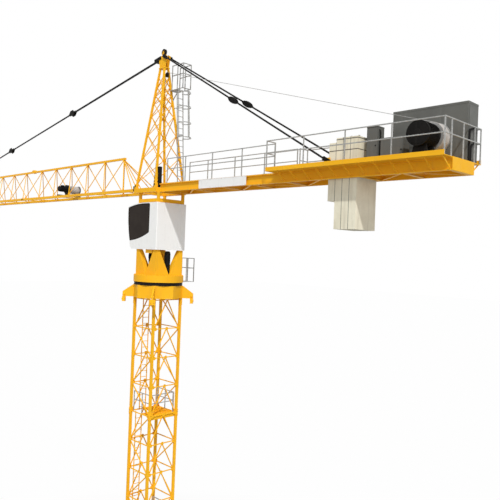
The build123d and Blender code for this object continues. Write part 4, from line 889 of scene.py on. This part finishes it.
def jib_plates():
    """Node plates on the lacing of both jib sides, and the sleeves at the chord joints."""
    chord_low, chord_high = node_box("jib_bottom_chords")
    axis = (chord_low.z + chord_high.z) / 2
    top = node_box("jib_side_near")[1].z + 0.028
    rise = top - axis
    reach = 0.085
    half = 0.042
    plates = Marks()
    sleeves = Shape()
    pins = Marks()
    for n, bays in enumerate(JIB_SECTION_BAYS):
        start = JIB_FIRST - n * JIB_SECTION
        rows = [(start - k * JIB_BAY, 0.075) for k in range(bays + 1)]
        rows += [(start - (k + 0.5) * JIB_BAY, 0.935) for k in range(bays)]
        for side in (-1, 1):
            y = side * JIB_HALF
            facing = Vector((0, side * rise, JIB_HALF)).normalized()
            for x, share in rows:
                plates.add(Vector((x, y * (1 - share), axis + rise * share)) + facing * 0.011, facing)
            if n:
                joint = start + (JIB_SECTION - JIB_SECTION_BAYS[n - 1] * JIB_BAY) / 2
                sleeves.box((joint - reach, y - half, chord_low.z - 0.004),
                            (joint + reach, y + half, chord_high.z + 0.006))
                for shift in (-0.045, 0.045):
                    pins.add((joint + shift, y + side * half, axis), Y_AXIS * side)
    plates.plates("jib_gussets", "upper", "crane_yellow", 0.036, 0.006)
    sleeves.piece("jib_chord_sleeves", "upper", "crane_yellow", bevel=0.004)
    pins.bolts("jib_chord_pins", "upper", "black_paint", 0.018, 0.014)


def trolley_winch_fittings():
    """Rope and dark rims of the trolley drum, and the fins, covers and terminal box of its motor."""
    low, high = node_box("trolley_drum")
    x = (low.x + high.x) / 2
    z = (low.z + high.z) / 2
    WINDING.grow("trolley_rope_winding", "trolley_drum", "bare_steel", [(x, low.y + 0.012, z)],
                 finish=ROPE, Radius=0.1105, Rope=0.006, Turns=23.0, Length=0.296)
    rims = Shape()
    rims.flat_ring((x, high.y - 0.017, z), Y_AXIS, 0.1225, 0.129, 0.018)
    rims.flat_ring((x, high.y, z), Y_AXIS, 0.060, 0.129, 0.003)
    rims.piece("trolley_drum_rims", "trolley_drum", "black_paint")
    start = -JIB_HALF - 0.016
    FINS.grow("trolley_motor_fins", "upper", "black_paint", [(x, start + 0.120, z)], ALONG_Y,
              Radius=0.078, Depth=0.012, Thickness=0.005, Length=0.150, Fins=22)
    hood = Shape()
    fan_cover = ((0.0, 0.081), (0.030, 0.080), (0.040, 0.066), (0.044, 0.030))
    gear_cover = ((0.0, 0.120), (0.068, 0.140), (0.074, 0.118))
    hood.turned((x, start + 0.034, z), -Y_AXIS, fan_cover, 28)
    hood.box((x - 0.040, start + 0.08, z + 0.080), (x + 0.040, start + 0.17, z + 0.115))
    hood.turned((x, -0.040, z), -Y_AXIS, gear_cover, 32)
    hood.piece("trolley_motor_hood", "upper", "black_paint", bevel=0.003)


# Counter-jib

def girder_sign():
    """Bare white plate on the near girder, with its edge frame and screws."""
    low = node_box("counter_jib_girders")[0]
    start = 1.872
    end = 3.385
    bottom = low.z + 0.006
    top = bottom + 0.194
    face = low.y - 0.007
    rim_face = low.y - 0.0095
    half = 0.004
    plate = Shape()
    plate.box((start, face, bottom), (end, low.y, top))
    plate.piece("girder_sign", "upper", "white_paint", bevel=0.002)
    rim = Slats()
    for z in (bottom + half, top - half):
        rim.box((start, rim_face, z - half), (end, face, z + half))
    for x in (start + half, end - half):
        rim.box((x - half, rim_face, bottom), (x + half, face, top))
    rim.piece("girder_sign_frame", "upper", "white_paint")
    screws = Marks()
    for k in range(5):
        for z in (bottom + 0.018, top - 0.018):
            screws.add((1.895 + k * 0.3665, face, z), -Y_AXIS)
    screws.bolts("girder_sign_screws", "upper", "bare_steel", 0.006, 0.005)


def floor_bracing():
    """Flat diagonals between the crossbeams and flat strips under them, left out at the ballast."""
    low = node_box("counter_jib_girders")[0].z
    half = 0.318
    level = low + 0.012
    bars = Shape()
    for k, (a, b) in enumerate(zip(CROSSBEAMS, CROSSBEAMS[1:])):
        if b > BALLAST_OPENING[0] and a < BALLAST_OPENING[1]:
            continue
        side = 1 if k % 2 else -1
        across = Z_AXIS.cross(Vector((b - a, side * 0.6, 0)))
        bars.bar((a + 0.03, -side * half, level), (b - 0.03, side * half, level), 0.040, 0.008, across)
    for x in CROSSBEAMS[:5] + CROSSBEAMS[6:]:
        bars.box((x - 0.035, -half, low + 0.002), (x + 0.035, half, low + 0.008))
    bars.piece("floor_bracing", "upper", "crane_yellow")


# Ballast and machines

def ballast_joints():
    """Dark joints and steel bands of the ballast, and its lifting loops."""
    low, high = node_box("ballast_slabs")
    proud = 0.0015
    band = 0.007
    band_level = 11.750
    step = 0.080
    dark = Shape()
    for k in (1, 2, 3):
        x = low.x + k * SLAB - 0.001
        base = high.z - 0.544 - 0.600 if k == 1 else low.z
        top = high.z - step if k == 1 else high.z
        dark.box((x - 0.004, low.y - proud, base - proud), (x + 0.004, high.y + proud, top + proud))
    for z in (band_level, high.z - 0.030):
        dark.box((low.x + SLAB - 0.001, low.y - proud, z - band),
                 (high.x + proud, high.y + proud, z + band))
    dark.box((low.x - proud, low.y - proud, band_level - band),
             (low.x + SLAB, high.y + proud, band_level + band))
    dark.piece("ballast_joints", "upper", "black_paint", JOINT_DARK)
    loops = Shape()
    outline = ((-0.030, -0.01), (-0.030, 0.020), (-0.016, 0.036),
               (0.016, 0.036), (0.030, 0.020), (0.030, -0.01))
    for k in range(4):
        top = high.z - (0.0 if k else step)
        x = low.x + (k + 0.5) * SLAB
        for y in (-0.17, 0.17):
            loops.pipe([(x, y + aside, top + lift) for aside, lift in outline], 0.007)
    loops.piece("ballast_lifting_loops", "upper", "bare_steel")


def hoist_fittings():
    """Rope on the hoist drum, and the fins, rim, dished end and bolts of its motor."""
    low, high = node_box("hoist_drum")
    x = (low.x + high.x) / 2
    z = (low.z + high.z) / 2
    WINDING.grow("hoist_rope_winding", "hoist_drum", "bare_steel", [(x, low.y + 0.008, z)],
                 finish=ROPE, Radius=0.2455, Rope=0.005, Turns=18.5, Length=0.196)
    motor = node_box("hoist_motor")[0].y
    FINS.grow("hoist_motor_fins", "upper", "black_paint", [(x, -0.190, z)], ALONG_Y,
              Radius=0.204, Depth=0.014, Thickness=0.006, Length=0.300, Fins=44)
    end = Shape()
    dish = ((0.0, 0.188), (0.004, 0.186), (0.010, 0.150), (0.012, 0.060), (0.020, 0.055), (0.022, 0.030))
    end.flat_ring((x, motor - 0.002, z), Y_AXIS, 0.190, 0.212, 0.040, 48)
    end.turned((x, motor, z), -Y_AXIS, dish, 48)
    end.piece("hoist_motor_end", "upper", "black_paint", bevel=0.0015)
    bolts = Marks()
    for out in spokes(12):
        bolts.add((x + 0.168 * out.x, motor - 0.006, z + 0.168 * out.y), -Y_AXIS)
    bolts.bolts("hoist_motor_bolts", "upper", "black_paint", 0.010, 0.008)


def cabinet_fittings():
    """Doors, louvres, handles, conduits and roof rim of the machine cabinet."""
    low, high = node_box("machine_cabinet")
    sill = low.z + 0.05
    lintel = high.z - 0.06
    proud = 0.008
    inset = 0.03
    rim = 0.003
    doors = Shape()
    louvres = Slats()
    pulls = Shape()
    width = (high.x - low.x) / 3
    for k in range(3):
        a = low.x + k * width + 0.020
        b = a + width - 0.040
        y = high.y + proud
        doors.box((a, low.y - 0.004, sill), (b, low.y, lintel))
        doors.box((a, high.y, sill), (b, y, lintel))
        louvres.row((a + 0.06, y, high.z - 0.30), (b - 0.06, y + 0.010, high.z - 0.12), 2, 0.022, 0.009)
        pull = ((y, 0.42), (y + 0.026, 0.42), (y + 0.026, 0.54), (y, 0.54))
        pulls.pipe([(b - 0.045, out, low.z + lift) for out, lift in pull], 0.006)
    doors.box((high.x, low.y + inset, sill), (high.x + proud, high.y - inset, lintel))
    conduits = Shape()
    near = high.x + 0.026
    for drop, bend, down, fall in ((0.40, 0.285, 0.262, 0.07), (0.66, 0.350, 0.318, 0.05)):
        start = high.z - drop
        conduits.pipe([(high.x + 0.010, 0.520, start), (near, 0.480, start - 0.01),
                       (near, bend, start - fall), (near, down, start - fall - 0.05),
                       (near, down, low.z + 0.02)], 0.016, 10)
    conduits.piece("cabinet_conduits", "upper", "black_paint", RUBBER)
    doors.box((low.x - proud, low.y + inset, sill), (low.x, high.y - inset, lintel))
    doors.box((low.x - rim, low.y - rim, high.z - 0.035), (high.x + rim, high.y + rim, high.z + rim))
    doors.piece("cabinet_doors", "upper", "grey_paint", bevel=0.0012)
    louvres.piece("cabinet_louvres", "upper", "black_paint")
    pulls.piece("cabinet_handles", "upper", "galvanised_steel")


def control_box_fittings():
    """Doors, locks, hoods, cable glands and cable of the two control boxes."""
    low, high = node_box("control_box")
    face = low.y - 0.008
    lock = ((0.0, 0.013), (0.006, 0.013), (0.008, 0.010))
    gland = ((0.0, 0.013), (0.020, 0.013), (0.026, 0.009))
    doors = Shape()
    fittings = Shape()
    for x0, x1, top in ((6.215, 6.440, high.z), (6.500, 6.950, low.z + 0.455)):
        doors.box((x0 + 0.012, face, low.z + 0.030), (x1 - 0.012, low.y, top - 0.030))
        doors.box((x0 - 0.003, low.y - 0.010, top - 0.014), (x1 + 0.003, high.y + 0.003, top + 0.003))
        fittings.turned((x1 - 0.035, face, (low.z + top) / 2), -Y_AXIS, lock, 16)
        for k in range(4):
            x = x0 + 0.035 + k * (x1 - x0 - 0.07) / 3
            fittings.turned((x, high.y, low.z + 0.06), Y_AXIS, gland, 12)
    cable = ((6.440, high.z - 0.060), (6.458, high.z - 0.075),
             (6.466, high.z - 0.110), (6.466, low.z + 0.010))
    fittings.pipe([(x, -0.150, z) for x, z in cable], 0.012, 10)
    doors.piece("control_box_doors", "upper", "grey_paint", bevel=0.003)
    fittings.piece("control_box_fittings", "upper", "black_paint")


def tie_connector(cheeks, nuts, middle, along, reach, rise):
    """Six-sided cheek plates and pin nuts on both sides of one tie connector."""
    thick = 0.006
    half = reach * 0.45
    corners = ((-reach, 0), (-half, rise), (half, rise), (reach, 0), (half, -rise), (-half, -rise))
    for side in (-1, 1):
        outward = Y_AXIS * side
        across = along.cross(outward).normalized()
        outside = middle + outward * 0.040
        cheeks.prism([outside + along * a + across * b for a, b in corners], outward * thick)
        for shift in (-0.06, 0.06):
            nuts.add(outside + along * shift + outward * thick, outward)


def tie_connectors():
    """Connectors of the jib tie and of both rear ties."""
    cheeks = Shape()
    nuts = Marks()
    head = Vector((-0.210, 0, 14.6813))
    run = Vector((-13.500, 0, 12.3533)) - head
    for share in (0.335, 0.656):
        tie_connector(cheeks, nuts, head + run * share, run.normalized(), 0.165, 0.085)
    for j in (-1, 1):
        head = Vector((0.010, j * 0.0783, 14.6813))
        run = Vector((5.455, j * 0.3623, 11.5913)) - head
        tie_connector(cheeks, nuts, head + run / 2, run.normalized(), 0.175, 0.052)
    cheeks.piece("tie_cheeks", "upper", "black_paint", bevel=0.002)
    nuts.bolts("tie_pin_nuts", "upper", "black_paint", 0.016, 0.008)


mast_gussets()
mast_joint_bolts()
rest_gratings()
foot_anchors()
collar_fittings()
ring_bolts()
slewing_motor_covers()
cab_terminal_box()
window_gaskets()
cab_door_fittings()
cab_rear_panels()
head_gussets()
head_feet()
head_equipment()
jib_root_pins()
upper_gratings()
jib_plates()
trolley_winch_fittings()
girder_sign()
floor_bracing()
ballast_joints()
hoist_fittings()
cabinet_fittings()
control_box_fittings()
tie_connectors()


# Stage, light and camera

def white_stage(name, size, height):
    """Pale floor that the camera sees as white, with the object's shadow left on it near the mast."""
    mesh = bpy.data.meshes.new(name)
    corners = [(-size, -size, height), (size, -size, height), (size, size, height), (-size, size, height)]
    mesh.from_pydata(corners, [], [(0, 1, 2, 3)])
    floor = placed(name, mesh)
    pale = Finish(name, 0.9)
    pale.surface({"Base Color": (FLOOR_TONE, FLOOR_TONE, FLOOR_TONE, 1)})
    away = pale.add("ShaderNodeVectorMath", "Value", {0: pale.place}, operation="LENGTH")
    white = pale.span(away, SHADED_REACH, WHITE_REACH, SHADED_WHITE, FAR_WHITE)
    share = pale.add("ShaderNodeMath", "Value", {0: seen_directly(pale), 1: white}, operation="MULTIPLY")
    glow = pale.add("ShaderNodeEmission", "Emission")
    blend = pale.add("ShaderNodeMixShader", "Shader", {0: share, 1: pale.shader.outputs["BSDF"], 2: glow})
    pale.feed(pale.tree.nodes["Material Output"], {"Surface": blend})
    mesh.materials.append(pale.material)


def seen_directly(graph):
    """One for rays that show the background itself: straight, mirrored or through glass."""
    total = graph.add("ShaderNodeLightPath", "Is Camera Ray")
    for ray in ("Is Glossy Ray", "Is Transmission Ray"):
        other = graph.add("ShaderNodeLightPath", ray)
        total = graph.add("ShaderNodeMath", "Value", {0: total, 1: other}, operation="MAXIMUM")
    return total


def white_sky():
    """World that lights the object softly and is itself seen as plain white."""
    world = bpy.data.worlds.new("white_sky")
    bpy.context.scene.world = world
    world.use_nodes = True
    sky = Nodes(world.node_tree)
    soft = sky.tree.nodes["Background"]
    sky.feed(soft, {"Color": (1, 1, 1, 1), "Strength": SKY})
    plain = sky.add("ShaderNodeBackground", "Background", {"Color": (1, 1, 1, 1)})
    inputs = {0: seen_directly(sky), 1: soft.outputs["Background"], 2: plain}
    blend = sky.add("ShaderNodeMixShader", "Shader", inputs)
    sky.feed(sky.tree.nodes["World Output"], {"Surface": blend})


def sun(name, source, strength, softness):
    """Lamp that shines from a direction on everything alike."""
    lamp = bpy.data.lights.new(name, "SUN")
    lamp.energy = strength
    lamp.angle = softness
    placed(name, lamp).rotation_euler = source.to_track_quat("Z", "Y").to_euler()


def photo_camera():
    """Camera at the photograph's place, with its heading, pitch and roll."""
    forward = Vector((-math.sin(HEADING) * math.cos(PITCH), math.cos(HEADING) * math.cos(PITCH),
                      math.sin(PITCH)))
    level = Vector((math.cos(HEADING), math.sin(HEADING), 0))
    upright = level.cross(forward)
    right = level * math.cos(ROLL) + upright * math.sin(ROLL)
    up = upright * math.cos(ROLL) - level * math.sin(ROLL)
    lens = bpy.data.cameras.new("photo_view")
    lens.lens = LENS
    lens.sensor_width = 36.0
    lens.clip_end = 500.0
    holder = placed("photo_view", lens)
    turn = Matrix((right, up, -forward)).transposed()
    holder.matrix_world = Matrix.Translation(EYE) @ turn.to_4x4()
    bpy.context.scene.camera = holder


white_stage("pale_floor", 150.0, cad_box[0][2] - 0.002)
white_sky()
sun("key_sun", SUN_FROM, SUN_STRENGTH, SUN_SOFTNESS)
sun("fill_sun", FILL_FROM, FILL_STRENGTH, FILL_SOFTNESS)
photo_camera()
bpy.context.scene.view_settings.view_transform = "Standard"
